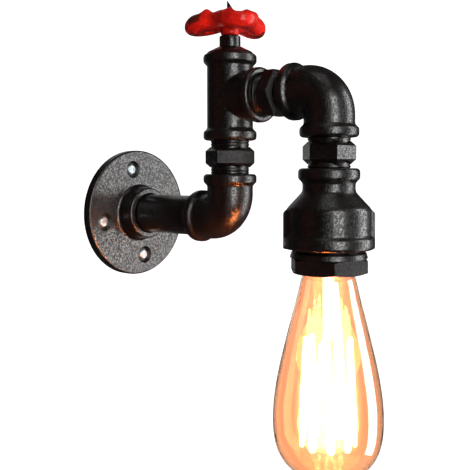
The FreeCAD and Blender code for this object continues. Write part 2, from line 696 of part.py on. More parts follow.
def hex_bushing():
    """Hexagon bushing under the bell, bored for the lampholder's sleeve and its ring."""
    crest = BUSHING_THREAD_DIAMETER / 2
    root = BUSHING_THREAD_ROOT / 2
    thread = turned(
        [(0, BUSHING_SHOULDER - 1), (root, BUSHING_SHOULDER - 1)]
        + thread_corners(crest, root, BUSHING_PITCH, BUSHING_SHOULDER, BUSHING_TOP)[1:]
        + [(0, BUSHING_TOP)])
    collar = turned([
        (0, BUSHING_SHOULDER - BUSHING_COLLAR),
        (BUSHING_COLLAR_DIAMETER / 2 + BUSHING_COLLAR_FLARE, BUSHING_SHOULDER - BUSHING_COLLAR),
        (BUSHING_COLLAR_DIAMETER / 2, BUSHING_SHOULDER, BUSHING_COLLAR_ROUND),
        (0, BUSHING_SHOULDER),
    ])
    grip = hexagon(
        BUSHING_HEX_ACROSS_FLATS, BUSHING_HEX_HEIGHT, BUSHING_HEX_TURN, BUSHING_HEX_CORNER_DROP)
    grip.translate(UP * BUSHING_FOOT)
    sleeve = HOLDER_SLEEVE_DIAMETER / 2 + HOLDER_FIT
    ring = HOLDER_RING_DIAMETER / 2 + THREAD_FIT
    bore = turned([
        (0, BUSHING_FOOT),
        (ring, BUSHING_FOOT),
        (ring, SLEEVE_FOOT),
        (sleeve, SLEEVE_FOOT),
        (sleeve, BUSHING_TOP),
        (0, BUSHING_TOP),
    ])
    bushing = thread.fuse([collar, grip]).cut(bore).removeSplitter()
    return aimed(bushing, UP, on_axis(DROP_REACH))


# ---------------------------------------------------------------- lampholder
def lead_side(side):
    """Sideways place of the live (-1) or neutral (+1) lead."""
    return RIGHT * (side * LEAD_SPACING / 2)


def terminal_height():
    """Height of the terminal screws' axes."""
    return BUSHING_TOP + TERMINAL_ABOVE_BUSHING


def terminal_tip():
    """Distance from the axis to a terminal screw's tip, touching its lead."""
    return LEAD_SPACING / 2 + LEAD_DIAMETER / 2 + TERMINAL_FIT


def lampholder_body():
    """Ceramic body: sleeve through the bushing and a head that rests on its top end."""
    head = HOLDER_HEAD_DIAMETER / 2
    body = turned([
        (HOLDER_SLEEVE_BORE / 2, SLEEVE_FOOT),
        (HOLDER_SLEEVE_DIAMETER / 2, SLEEVE_FOOT),
        (HOLDER_SLEEVE_DIAMETER / 2, BUSHING_TOP),
        (head, BUSHING_TOP),
        (head, HEAD_TOP - HOLDER_HEAD_CHAMFER, 1.0),
        (head - HOLDER_HEAD_CHAMFER, HEAD_TOP, 1.0),
        (0, HEAD_TOP),
        (0, SHELL_CEILING),
        (HOLDER_SLEEVE_BORE / 2, SHELL_CEILING),
    ])
    for side in (-1, 1):
        start = lead_side(side) + UP * LEAD_HOLE_FOOT
        body = body.cut(rod(LEAD_DIAMETER + 2 * LEAD_HOLE_FIT, start, UP, HOLDER_HEAD_HEIGHT))
        start = RIGHT * (side * LEAD_SPACING / 2) + UP * terminal_height()
        hole = rod(TERMINAL_DIAMETER + 2 * TERMINAL_FIT, start, RIGHT * side, head)
        body = body.cut(hole)
    rivet = rod(CONTACT_RIVET_DIAMETER + 2 * THREAD_FIT, UP * SHELL_CEILING, UP, HOLDER_FLOOR)
    return aimed(body.cut(rivet), UP, on_axis(DROP_REACH))


def lampholder_terminals():
    """Two brass screws that clamp the leads from the sides."""
    screws = []
    for side in (-1, 1):
        seat = HOLDER_HEAD_DIAMETER / 2 + THREAD_FIT
        tip = terminal_tip()
        head = TERMINAL_HEAD_DIAMETER / 2
        screw = turned([
            (0, tip),
            (TERMINAL_DIAMETER / 2, tip),
            (TERMINAL_DIAMETER / 2, seat),
            (head, seat),
            (head, seat + TERMINAL_HEAD_HEIGHT, 0.6),
            (0, seat + TERMINAL_HEAD_HEIGHT),
        ])
        slot = Part.makeBox(
            TERMINAL_HEAD_DIAMETER, SCREW_SLOT_WIDTH, SCREW_SLOT_DEPTH,
            FreeCAD.Vector(-head, -SCREW_SLOT_WIDTH / 2, seat + TERMINAL_HEAD_HEIGHT / 2))
        place = on_axis(DROP_REACH) + UP * terminal_height()
        screws.append(aimed(screw.cut(slot), RIGHT * side, place))
    return Part.makeCompound(screws)


def lampholder_shell():
    """Brass screw shell with its rolled thread standing inwards."""
    outer = HOLDER_SLEEVE_BORE / 2 - HOLDER_FIT
    inner = outer - SHELL_WALL
    foot = SLEEVE_FOOT + SHELL_MOUTH_RECESS
    wall = turned([
        (inner, foot),
        (outer, foot),
        (outer, SHELL_CEILING),
        (inner, SHELL_CEILING),
    ])
    ridge_foot = foot + RIDGE_FOOT
    ridge = helical_ridge(inner, -RIDGE_DEPTH, ridge_foot, SHELL_TURNS, CENTRE)
    return aimed(wall.fuse(ridge), UP, on_axis(DROP_REACH))


def lampholder_contact():
    """Centre contact riveted to the ceramic floor."""
    contact = turned([
        (0, CONTACT_FACE),
        (CONTACT_DIAMETER / 2, CONTACT_FACE, 0.3),
        (CONTACT_DIAMETER / 2, SHELL_CEILING),
        (CONTACT_RIVET_DIAMETER / 2, SHELL_CEILING),
        (CONTACT_RIVET_DIAMETER / 2, SHELL_CEILING + HOLDER_FLOOR),
        (0, SHELL_CEILING + HOLDER_FLOOR),
    ])
    return aimed(contact, UP, on_axis(DROP_REACH))


def lampholder_ring():
    """Ring screwed into the bushing's mouth, which holds the ceramic body up."""
    foot = SLEEVE_FOOT - HOLDER_RING_HEIGHT
    ring = turned([
        (HOLDER_RING_BORE / 2, foot, 0.5),
        (HOLDER_RING_DIAMETER / 2, foot),
        (HOLDER_RING_DIAMETER / 2, SLEEVE_FOOT),
        (HOLDER_RING_BORE / 2, SLEEVE_FOOT),
    ])
    return aimed(ring, UP, on_axis(DROP_REACH))


def lead(side):
    """Insulated lead from the wall mouth through the fittings to the lampholder."""
    sideways = lead_side(side)
    points = [
        sideways + on_axis(LEAD_START),
        sideways + on_axis(REACH),
        sideways + on_axis(REACH) + UP * TEE_HEIGHT,
        sideways + on_axis(DROP_REACH) + UP * TEE_HEIGHT,
        sideways + on_axis(DROP_REACH) + UP * (LEAD_HOLE_FOOT + LEAD_HOLE_FIT),
    ]
    return bent_wire(points, LEAD_BEND, LEAD_DIAMETER)


# ---------------------------------------------------------------- valve and wheel
def valve_bonnet():
    """Domed plug screwed into the tee, with a stub for the gland nut."""
    root = THREAD_ROOT_DIAMETER / 2
    foot = TEE_TOP - BONNET_THREAD_LENGTH
    spindle = SPINDLE_DIAMETER / 2 + SPINDLE_FIT
    shoulder = foot + BONNET_BORE_DEPTH
    threads = thread_corners(MALE_RADIUS, root, THREAD_PITCH, foot, TEE_TOP)
    bonnet = turned(
        [(BONNET_BORE_DIAMETER / 2, foot)] + threads + [
            (BONNET_DOME_DIAMETER / 2, TEE_TOP),
            (BONNET_DOME_DIAMETER / 2 - BONNET_RIM_TAPER, TEE_TOP + BONNET_RIM_HEIGHT,
             BONNET_RIM_ROUND),
            (GLAND_NUT_DIAMETER / 2 + BONNET_SHOULDER, DOME_TOP, BONNET_DOME_ROUND),
            (BONNET_STUB_DIAMETER / 2, DOME_TOP),
            (BONNET_STUB_DIAMETER / 2, DOME_TOP + BONNET_STUB_HEIGHT),
            (spindle, DOME_TOP + BONNET_STUB_HEIGHT),
            (spindle, shoulder),
            (BONNET_BORE_DIAMETER / 2, shoulder),
        ])
    return aimed(bonnet, UP, on_axis(REACH))


def gland_nut():
    """Round nut over the stub, with two wrench flats."""
    stub = BONNET_STUB_DIAMETER / 2 + THREAD_FIT
    roof = GLAND_NUT_TOP - GLAND_NUT_WALL
    nut = turned([
        (stub, GLAND_NUT_FOOT),
        (GLAND_NUT_DIAMETER / 2, GLAND_NUT_FOOT),
        (GLAND_NUT_DIAMETER / 2, GLAND_NUT_TOP, 0.8),
        (SPINDLE_DIAMETER / 2 + SPINDLE_FIT, GLAND_NUT_TOP),
        (SPINDLE_DIAMETER / 2 + SPINDLE_FIT, roof),
        (stub, roof),
    ])
    for side in (-1, 1):
        flat = Part.makeBox(
            GLAND_NUT_DIAMETER, GLAND_NUT_DIAMETER, GLAND_NUT_FLATS_HEIGHT,
            FreeCAD.Vector(-GLAND_NUT_DIAMETER / 2, -GLAND_NUT_DIAMETER / 2, 0))
        offset = RIGHT * (side * (GLAND_NUT_DIAMETER + GLAND_NUT_FLATS) / 2)
        flat.translate(offset + UP * (GLAND_NUT_TOP - GLAND_NUT_FLATS_HEIGHT))
        nut = nut.cut(flat)
    return aimed(nut, UP, on_axis(REACH))


def gland_packing():
    """Packing ring pressed between the stub and the gland nut's roof."""
    roof = GLAND_NUT_TOP - GLAND_NUT_WALL
    inner = SPINDLE_DIAMETER / 2 + SPINDLE_FIT
    packing = turned([
        (inner, DOME_TOP + BONNET_STUB_HEIGHT),
        (PACKING_DIAMETER / 2, DOME_TOP + BONNET_STUB_HEIGHT),
        (PACKING_DIAMETER / 2, roof),
        (inner, roof),
    ])
    return aimed(packing, UP, on_axis(REACH))


def spindle():
    """Shaft with a collar under the bonnet, a square for the wheel and a threaded tip."""
    shoulder = TEE_TOP - BONNET_THREAD_LENGTH + BONNET_BORE_DEPTH - RUNNING_GAP
    shaft = turned([
        (0, shoulder - SPINDLE_COLLAR_HEIGHT),
        (SPINDLE_COLLAR_DIAMETER / 2, shoulder - SPINDLE_COLLAR_HEIGHT, 0.5),
        (SPINDLE_COLLAR_DIAMETER / 2, shoulder),
        (SPINDLE_DIAMETER / 2, shoulder),
        (SPINDLE_DIAMETER / 2, WHEEL_FOOT),
        (0, WHEEL_FOOT),
    ])
    square = Part.makeBox(
        SPINDLE_SQUARE, SPINDLE_SQUARE, WHEEL_HUB_HEIGHT,
        FreeCAD.Vector(-SPINDLE_SQUARE / 2, -SPINDLE_SQUARE / 2, WHEEL_FOOT))
    crest = SPINDLE_TIP_DIAMETER / 2
    root = crest - SPINDLE_PITCH / 2
    plain_start = SPINDLE_TIP - SPINDLE_TIP_SLANT
    threads = thread_corners(crest, root, SPINDLE_PITCH, WHEEL_TOP, plain_start)
    tip = turned(
        [(0, WHEEL_TOP)] + threads
        + [(crest, plain_start + SPINDLE_TIP_CHAMFER), (crest, SPINDLE_TIP), (0, SPINDLE_TIP)])
    return aimed(shaft.fuse([square, tip.cut(slant_cut())]), UP, on_axis(REACH))


def slant_cut():
    """Wedge that cuts the spindle's tip off at a slant, from its high side down."""
    beyond = SPINDLE_TIP_DIAMETER
    slope = SPINDLE_TIP_SLANT / SPINDLE_TIP_DIAMETER
    middle = SPINDLE_TIP - SPINDLE_TIP_SLANT / 2
    corners = [
        (beyond, middle + slope * beyond),
        (-beyond, middle - slope * beyond),
        (-beyond, middle + 2 * slope * beyond),
    ]
    points = [FreeCAD.Vector(along, -beyond, height) for along, height in corners]
    wedge = Part.Face(Part.makePolygon(points + points[:1])).extrude(FreeCAD.Vector(0, 2 * beyond, 0))
    wedge.rotate(CENTRE, UP, SPINDLE_TIP_TURN)
    return wedge


def rim_point(angle):
    """Point of the rim's waving centre line at an angle, over the hub's foot."""
    wave = math.cos(WHEEL_LOBE_COUNT * (angle - math.radians(WHEEL_LOBE_TURN)))
    radius = WHEEL_MEAN_RADIUS + WHEEL_WAVE * wave
    height = RIM_HEIGHT_ABOVE_HUB - WHEEL_DROOP * wave
    return FreeCAD.Vector(radius * math.cos(angle), radius * math.sin(angle), height)


def rim_section(angle):
    """Elliptical section of the rim, standing upright on the radius at an angle."""
    middle = rim_point(angle)
    outwards = FreeCAD.Vector(math.cos(angle), math.sin(angle), 0)
    ellipse = Part.Ellipse(
        middle + outwards * RIM_HALF_WIDTH, middle + UP * RIM_HALF_HEIGHT, middle)
    return Part.Wire(ellipse.toBSpline().toShape())


def handwheel():
    """Cast wheel: three drooping lobes on a waving rim, a hub and three arms."""
    lobe_angle = 360 / WHEEL_LOBE_COUNT
    spans = 6
    lobes = []
    for i in range(WHEEL_LOBE_COUNT):
        first = WHEEL_LOBE_TURN + lobe_angle * (i - 0.5)
        sections = [rim_section(math.radians(first + lobe_angle * k / spans))
                    for k in range(spans + 1)]
        lobes.append(Part.makeLoft(sections, True))
    wheel = lobes[0].fuse(lobes[1:])
    hub = turned([
        (0, 0),
        (WHEEL_HUB_DIAMETER / 2, 0, WHEEL_HUB_ROUND),
        (WHEEL_HUB_DIAMETER / 2, WHEEL_HUB_HEIGHT, WHEEL_HUB_ROUND),
        (0, WHEEL_HUB_HEIGHT),
    ])
    arms = []
    for i in range(WHEEL_LOBE_COUNT):
        arm = Part.makeBox(
            WHEEL_MEAN_RADIUS + WHEEL_WAVE, ARM_WIDTH, ARM_HEIGHT,
            FreeCAD.Vector(0, -ARM_WIDTH / 2, (WHEEL_HUB_HEIGHT - ARM_HEIGHT) / 2))
        arm.rotate(CENTRE, UP, WHEEL_LOBE_TURN + 360 / WHEEL_LOBE_COUNT * i)
        arms.append(arm)
    hole = SPINDLE_SQUARE + 2 * SPINDLE_SQUARE_FIT
    square = Part.makeBox(
        hole, hole, WHEEL_HUB_HEIGHT * 3,
        FreeCAD.Vector(-hole / 2, -hole / 2, -WHEEL_HUB_HEIGHT))
    wheel = wheel.fuse(hub.fuse(arms)).cut(square)
    return aimed(wheel, UP, on_axis(REACH) + UP * WHEEL_FOOT)


def wheel_washer():
    """Flat washer between the wheel's hub and the nut."""
    washer = turned([
        (SPINDLE_TIP_DIAMETER / 2 + THREAD_FIT, WHEEL_TOP),
        (WASHER_DIAMETER / 2, WHEEL_TOP),
        (WASHER_DIAMETER / 2, NUT_FOOT),
        (SPINDLE_TIP_DIAMETER / 2 + THREAD_FIT, NUT_FOOT),
    ])
    return aimed(washer, UP, on_axis(REACH))


def wheel_nut():
    """Hexagon nut on the spindle's tip."""
    nut = hexagon(NUT_ACROSS_FLATS, NUT_HEIGHT, 0.0, NUT_CORNER_DROP)
    hole = rod(SPINDLE_TIP_DIAMETER + 2 * THREAD_FIT, CENTRE, UP, NUT_HEIGHT)
    return aimed(nut.cut(hole), UP, on_axis(REACH) + UP * NUT_FOOT)


# ---------------------------------------------------------------- lamp
def bulb_cap():
    """Thin brass cap with its rolled thread and the shoulder to the insulator."""
    root = CAP_ROOT_DIAMETER / 2
    shoulder = CAP_RIM + CAP_LENGTH
    end = shoulder + CAP_SHOULDER
    seat = CAP_INSULATOR_DIAMETER / 2
    wall = turned([
        (root - CAP_WALL, CAP_RIM),
        (root, CAP_RIM),
        (root, shoulder),
        (seat, end),
        (seat - CAP_WALL, end),
        (root - CAP_WALL, shoulder),
    ])
    ridge_foot = CAP_RIM + CAP_RIDGE_START
    ridge = helical_ridge(root, RIDGE_DEPTH, ridge_foot + cap_phase(ridge_foot), CAP_TURNS, CENTRE)
    return aimed(wall.fuse(ridge), UP, on_axis(DROP_REACH))


def cap_phase(foot):
    """Rise that puts the cap's ridge midway between the turns of the holder's ridge."""
    holder = SLEEVE_FOOT + SHELL_MOUTH_RECESS + RIDGE_FOOT + CAP_PITCH / 2
    return (holder - foot) % CAP_PITCH


def bulb_cap_insulator():
    """Dark glass disc that closes the cap's end."""
    foot = CAP_RIM + CAP_LENGTH + CAP_SHOULDER
    top = foot + CAP_INSULATOR_HEIGHT
    disc = turned([
        (0, foot),
        (CAP_INSULATOR_DIAMETER / 2, foot),
        (CAP_CONTACT_DIAMETER / 2 + 0.8, top),
        (0, top),
    ])
    return aimed(disc, UP, on_axis(DROP_REACH))


def bulb_centre_contact():
    """Solder contact on the insulator."""
    foot = CAP_TIP - CAP_CONTACT_HEIGHT
    contact = turned([
        (0, foot),
        (CAP_CONTACT_DIAMETER / 2, foot),
        (CAP_CONTACT_DIAMETER / 2, CAP_TIP, 0.9),
        (0, CAP_TIP),
    ])
    return aimed(contact, UP, on_axis(DROP_REACH))


def glass_block(inset):
    """Solid of the bulb's outline from neck to foot, moved in by inset."""
    widest = BULB_DIAMETER / 2 - inset
    foot = CAP_RIM - BULB_GLASS_LENGTH + inset
    return turned([
        (0, CAP_RIM + BULB_NECK_DEPTH),
        (BULB_NECK_DIAMETER / 2 - inset, CAP_RIM + BULB_NECK_DEPTH),
        (BULB_NECK_DIAMETER / 2 - inset, CAP_RIM - BULB_NECK_SHOWN, BULB_NECK_ROUND),
        (BULB_FLARE_DIAMETER / 2 - inset, CAP_RIM - BULB_FLARE_DROP, BULB_FLARE_ROUND),
        (BULB_WAIST_DIAMETER / 2 - inset, CAP_RIM - BULB_WAIST_DROP, BULB_WAIST_ROUND),
        (widest, CAP_RIM - BULB_WIDEST_DROP, BULB_CHEEK_ROUND),
        (widest, foot + BULB_FOOT_CROWN, BULB_FOOT_ROUND - inset),
        (0, foot),
    ])


def bulb_glass():
    """Blown pear-shaped envelope, open at the neck inside the cap."""
    glass = glass_block(0.0).cut(glass_block(BULB_GLASS_WALL))
    return aimed(glass, UP, on_axis(DROP_REACH))


def bulb_stem():
    """Glass stem: a flare sealed in the neck, a tube and a long support rod."""
    top = CAP_RIM + BULB_NECK_DEPTH - STEM_BELOW_NECK_END
    foot = CAP_RIM - STEM_LENGTH
    button = foot - SUPPORT_ROD_LENGTH
    button_top = button + STEM_BUTTON_HEIGHT / 2
    button_foot = button - STEM_BUTTON_HEIGHT / 2
    flare = STEM_FLARE_DIAMETER / 2
    stem = turned([
        (0, top - STEM_HOLLOW),
        (STEM_DIAMETER / 2, top - STEM_HOLLOW),
        (flare - STEM_FLARE_WALL, top),
        (flare, top),
        (flare, top - STEM_FLARE_EDGE, 1.0),
        (STEM_DIAMETER / 2, top - STEM_FLARE_HEIGHT, STEM_FLARE_ROUND),
        (STEM_FOOT_DIAMETER / 2, foot, STEM_FOOT_ROUND),
        (SUPPORT_ROD_DIAMETER / 2, foot - STEM_TAPER, 1.0),
        (SUPPORT_ROD_DIAMETER / 2, button_top + STEM_BUTTON_NECK),
        (STEM_BUTTON_DIAMETER / 2, button_top, 0.8),
        (STEM_BUTTON_DIAMETER / 2, button_foot, 1.0),
        (0, button_foot - STEM_BUTTON_TIP),
    ])
    stem = stem.cut([hook_wire(start, tip, HOOK_WIRE_FIT) for start, tip in hook_ends()])
    return aimed(stem, UP, on_axis(DROP_REACH))


def cage_point(index, at_top, side=0):
    """Middle (side 0) or one end (side -1 or 1) of a hairpin of the filament's cage."""
    radius = FILAMENT_TOP_RADIUS if at_top else FILAMENT_FOOT_RADIUS
    turn = 2 * math.pi * (index + (0.0 if at_top else 0.5)) / FILAMENT_HAIRPIN_COUNT
    turn += side * FILAMENT_HAIRPIN_WIDTH / 2 / radius
    height = CAP_RIM - FILAMENT_TOP_BELOW_RIM - (0.0 if at_top else FILAMENT_HEIGHT)
    return FreeCAD.Vector(radius * math.cos(turn), radius * math.sin(turn), height)


def bulb_filament():
    """Cage-wound filament: one wire that runs up and down round the support rod."""
    points = []
    for i in range(FILAMENT_HAIRPIN_COUNT):
        for at_top in (True, False):
            for side in (-1, 1):
                points.append(cage_point(i, at_top, side))
    points = points[1:-3]
    wire = bent_wire(points, FILAMENT_BEND, FILAMENT_DIAMETER)
    return aimed(wire, UP, on_axis(DROP_REACH))


def hook_ends():
    """Start in the glass and tip at the filament of each wire that carries the cage."""
    foot = CAP_RIM - STEM_LENGTH
    stem_radius = STEM_FOOT_DIAMETER / 2 - HOOK_DEPTH
    button_radius = STEM_BUTTON_DIAMETER / 2 - HOOK_DEPTH
    last = FILAMENT_HAIRPIN_COUNT - 1
    hooks = []
    for i in range(1, last):
        hooks.append((cage_point(i, True), stem_radius, foot + HOOK_START_HEIGHT))
    for i in range(last):
        hooks.append((cage_point(i, False), button_radius, foot - SUPPORT_ROD_LENGTH))
    hooks.append((cage_point(0, True, 1), stem_radius, foot + LEAD_IN_START_HEIGHT))
    hooks.append((cage_point(last, True, -1), stem_radius, foot + LEAD_IN_START_HEIGHT))
    ends = []
    for tip, radius, height in hooks:
        outwards = FreeCAD.Vector(tip.x, tip.y, 0).normalize()
        ends.append((outwards * radius + UP * height, tip))
    return ends


def hook_wire(start, tip, fit=0.0):
    """Straight wire from its start in the glass to just short of the filament."""
    along = (tip - start).normalize()
    length = (tip - start).Length - FILAMENT_DIAMETER / 2 - HOOK_GAP
    return rod(HOOK_WIRE_DIAMETER + 2 * fit, start - along * fit, along, length + fit)


def bulb_support_wires():
    """Lead-in wires to the filament's ends and hooks that hold its hairpins."""
    wires = [hook_wire(start, tip) for start, tip in hook_ends()]
    return aimed(Part.makeCompound(wires), UP, on_axis(DROP_REACH))


# ---------------------------------------------------------------- files
NODES = {
    "wall_flange": wall_flange,
    "wall_screws": wall_screws,
    "pipe_nipple": pipe_nipple,
    "lower_elbow": lower_elbow,
    "lower_hex_nipple": lower_hex_nipple,
    "tee": tee,
    "branch_hex_nipple": branch_hex_nipple,
    "upper_elbow": upper_elbow,
    "drop_hex_nipple": drop_hex_nipple,
    "bell_reducer": bell_reducer,
    "hex_bushing": hex_bushing,
    "valve_bonnet": valve_bonnet,
    "gland_packing": gland_packing,
    "gland_nut": gland_nut,
    "spindle": spindle,
    "handwheel": handwheel,
    "wheel_washer": wheel_washer,
    "wheel_nut": wheel_nut,
    "lampholder_body": lampholder_body,
    "lampholder_shell": lampholder_shell,
    "lampholder_contact": lampholder_contact,
    "lampholder_terminals": lampholder_terminals,
    "lampholder_ring": lampholder_ring,
    "live_lead": lambda: lead(-1),
    "neutral_lead": lambda: lead(1),
    "bulb_cap": bulb_cap,
    "bulb_cap_insulator": bulb_cap_insulator,
    "bulb_centre_contact": bulb_centre_contact,
    "bulb_glass": bulb_glass,
    "bulb_stem": bulb_stem,
    "bulb_support_wires": bulb_support_wires,
    "bulb_filament": bulb_filament,
}

os.makedirs("parts", exist_ok=True)
for name, make in NODES.items():
    shape = make()
    solids = shape.Solids
    good = shape.isValid() and all(solid.Volume > 0 for solid in solids)
    print(f"{name}: {len(solids)} solid(s), valid {good}, volume {shape.Volume:.1f}")
    shape.exportStep(f"parts/{name}.step")
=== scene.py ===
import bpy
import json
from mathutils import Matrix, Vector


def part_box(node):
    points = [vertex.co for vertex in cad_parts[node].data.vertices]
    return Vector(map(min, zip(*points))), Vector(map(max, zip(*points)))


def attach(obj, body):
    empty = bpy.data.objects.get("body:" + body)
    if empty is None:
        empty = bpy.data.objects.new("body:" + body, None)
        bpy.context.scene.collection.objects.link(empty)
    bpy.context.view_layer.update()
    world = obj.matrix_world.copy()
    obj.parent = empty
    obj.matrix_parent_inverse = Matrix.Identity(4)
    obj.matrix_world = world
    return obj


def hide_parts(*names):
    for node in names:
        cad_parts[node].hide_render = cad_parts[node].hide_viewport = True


bl_info = {
    "name": "Industrial Pipe Wall Light",
    "version": (1, 0, 0),
    "blender": (4, 5, 0),
    "location": "View3D > Sidebar > Pipe Light",
    "description": "Dresses a wall light made of black pipe fittings, a red handwheel and a filament lamp",
    "category": "Object",
}

import json
import math

import bmesh
import bpy
import numpy as np
from mathutils import Euler, Matrix, Vector

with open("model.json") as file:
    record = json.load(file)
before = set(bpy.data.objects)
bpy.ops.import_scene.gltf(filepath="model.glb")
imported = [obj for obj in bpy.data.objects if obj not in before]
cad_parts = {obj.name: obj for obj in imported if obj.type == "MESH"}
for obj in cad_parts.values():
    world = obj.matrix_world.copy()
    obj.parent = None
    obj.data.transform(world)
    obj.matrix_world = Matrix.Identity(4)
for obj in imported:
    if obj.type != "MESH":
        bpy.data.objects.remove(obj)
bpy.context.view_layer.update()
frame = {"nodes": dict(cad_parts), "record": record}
NODES = frame["nodes"]
MM = 0.001


def middle_y(node):
    """Place along Y, in metres, of the middle of a CAD node's box."""
    low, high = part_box(node)
    return (low.y + high.y) / 2


# ---------------------------------------------------------------- places from the frame, in metres
TEE_AXIS_Y = middle_y("spindle")
LAMP_AXIS_Y = middle_y("bulb_glass")
GLASS_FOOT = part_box("bulb_glass")[0].z
CAP_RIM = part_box("bulb_cap")[0].z
WHEEL_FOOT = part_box("handwheel")[0].z
FILAMENT_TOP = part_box("bulb_filament")[1].z
FILAMENT_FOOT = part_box("bulb_filament")[0].z

# ---------------------------------------------------------------- camera, fitted to the photograph
# place and clip in metres, heading and tilt in degrees, sensor and lens in millimetres
CAMERA_PLACE = (-0.355539, -0.408861, 0.029070)
CAMERA_HEADING = -48.99376
CAMERA_TILT = 1.97045
CAMERA_SENSOR = 36.0
CAMERA_LENS = 55.43
CAMERA_SHIFT_Y = -0.0792
CAMERA_CLIP = (0.02, 20.0)

# ---------------------------------------------------------------- lamp sizes, in millimetres
GLASS_WALL = 0.8
GLASS_WIDEST = 32.5
GLASS_PROFILE = (
    # drop below the cap's rim, radius
    (-8.0, 11.45), (-2.0, 11.45), (0.0, 11.5), (1.6, 12.5), (3.2, 14.2), (5.0, 15.5),
    (7.5, 16.3), (11.0, 17.1), (17.0, 18.5), (25.0, 20.6), (34.2, 23.0), (46.0, 25.9),
    (58.0, 28.7), (70.0, 30.9), (81.0, 32.2), (91.5, 32.5), (101.0, 31.6), (109.0, 29.0),
    (115.5, 24.4), (120.0, 17.8), (122.6, 10.0), (123.8, 4.0), (124.0, 0.0),
)
GLASS_RINGS = 150
FILAMENT_HAIRPINS = 9
FILAMENT_TOP_RADIUS = 13.5
FILAMENT_FOOT_RADIUS = 15.8
FILAMENT_HEIGHT = 62.0
FILAMENT_TOP_DROP = 42.0
FILAMENT_STRAND = 2.5
FILAMENT_SIDES = 8
HAIRPIN_WIDTH = 2.4
HAIRPIN_STEPS = 9
LEG_SHORTEST = 20.0
LEG_STEPS = 10
LEG_BOW = 0.4

# ---------------------------------------------------------------- handwheel sizes, in millimetres
WHEEL_LOBES = 3
WHEEL_MEAN_RADIUS = 18.0
WHEEL_WAVE = 6.0
WHEEL_DROOP = 1.6
RIM_HALF_WIDTH = 6.2
RIM_HALF_HEIGHT = 5.2
RIM_HEIGHT = 7.6
RIM_SQUARENESS = 2.3
RIM_STEPS = (144, 28)  # round the wheel, round the section
RIM_LUMPS = (
    # plan angle in degrees, radius, rise of the upper side, rise of the lower side, spread
    (155.0, 16.4, 2.8, 0.0, 2.3), (223.0, 21.8, 2.2, 0.0, 2.2), (245.0, 23.7, 1.4, 0.0, 2.2),
    (234.0, 22.8, -2.2, 0.0, 2.2), (182.0, 12.2, -2.0, 0.0, 3.2), (134.0, 22.5, 1.4, 0.0, 4.0),
    (28.0, 18.5, 0.0, 3.4, 6.0),
)
ARM_INSET = 2.0
ARM_HALF_WIDTH = 3.3
ARM_HALF_HEIGHT = 2.3
ARM_FLARE = 0.35
ARM_STEPS = 24
HUB_RADIUS = 6.2
HUB_HEIGHT = 11.0
HUB_BORE = 3.05
HUB_BORE_LIP = 0.3
HUB_CORNER = (
    # inset from the hub's radius, distance from the hub's end
    (1.4, 0.0), (0.2, 1.0), (0.0, 3.0),
)
HUB_STEPS = (40, 48)  # along the profile, round the hub
# spots of the handwheel where the red enamel's colour is darkened to near black
DARK_SPOT_PLACES = (
    # plan angle in degrees, radius, height over the hub's foot, spread
    (146.0, 25.0, 10.5, 4.6), (344.0, 23.0, 2.6, 4.6), (245.0, 23.7, 13.5, 3.2), (188.0, 12.0, 13.0, 3.0),
)

# ---------------------------------------------------------------- rounding of castings, in metres
MERGE_DISTANCE = 1e-6
SMOOTHING_SHARE = 0.6
WHEEL_VOXEL = 0.00045
WHEEL_SMOOTHINGS = 14
BELL_VOXEL = 0.0006
BELL_SMOOTHINGS = 3

# ---------------------------------------------------------------- finishes, depths in metres
# share of the distance along X, Y and Z that a pattern counts: a small one draws it out into lines
EVEN_LINES = (1.0, 1.0, 1.0)
UPRIGHT_LINES = (1.0, 1.0, 0.1)
LONG_UPRIGHT_LINES = (1.0, 1.0, 0.05)
BLACK_PAINTS = {
    # grain scale, lump scale, share of grain, share of lumps, smoothest, roughest, depth
    "black_casting": (880.0, 120.0, 1.0, 0.2, 0.14, 0.26, 0.00036),
    "black_pipe": (950.0, 150.0, 0.7, 0.35, 0.12, 0.22, 0.00022),
    "black_machined": (880.0, 180.0, 0.9, 0.25, 0.14, 0.26, 0.00034),
}
METALS = {
    # dark tone, light tone, smoothest, roughest, way of the lines, scale of the lines, depth
    "zinc_screws": ((0.36, 0.40, 0.42), (0.56, 0.62, 0.65), 0.34, 0.52, EVEN_LINES, 2500.0, 0.00006),
    "dark_steel": ((0.012, 0.013, 0.012), (0.05, 0.052, 0.048), 0.25, 0.45, LONG_UPRIGHT_LINES, 2500.0,
                   0.00005),
    "brass": ((0.42, 0.28, 0.10), (0.72, 0.52, 0.22), 0.22, 0.42, UPRIGHT_LINES, 2500.0, 0.00005),
    "cap_brass": ((0.45, 0.33, 0.15), (0.76, 0.60, 0.32), 0.2, 0.4, UPRIGHT_LINES, 2500.0, 0.00005),
    "solder": ((0.40, 0.40, 0.41), (0.66, 0.67, 0.68), 0.28, 0.5, EVEN_LINES, 1200.0, 0.0001),
    "nickel_wire": ((0.30, 0.28, 0.25), (0.55, 0.52, 0.48), 0.25, 0.45, UPRIGHT_LINES, 2500.0, 0.00003),
}
DULL_FINISHES = {
    # dark tone, light tone, smoothest, roughest, grain scale, depth
    "packing": ((0.015, 0.014, 0.013), (0.06, 0.055, 0.05), 0.6, 0.85, 1800.0, 0.0003),
    "ceramic": ((0.62, 0.60, 0.55), (0.80, 0.78, 0.73), 0.35, 0.6, 1400.0, 0.00008),
    "black_glass": ((0.008, 0.008, 0.010), (0.02, 0.02, 0.024), 0.08, 0.2, 700.0, 0.00006),
    "lead_brown": ((0.08, 0.03, 0.012), (0.15, 0.06, 0.025), 0.45, 0.6, 1500.0, 0.00008),
    "lead_blue": ((0.010, 0.035, 0.16), (0.02, 0.06, 0.26), 0.45, 0.6, 1500.0, 0.00008),
}
STEM_REACH = 0.045
STEM_HALO_FADE = 0.004
AMBER_HALO_FADE = 0.010
AMBER_HALO_TOP = FILAMENT_TOP - 0.008

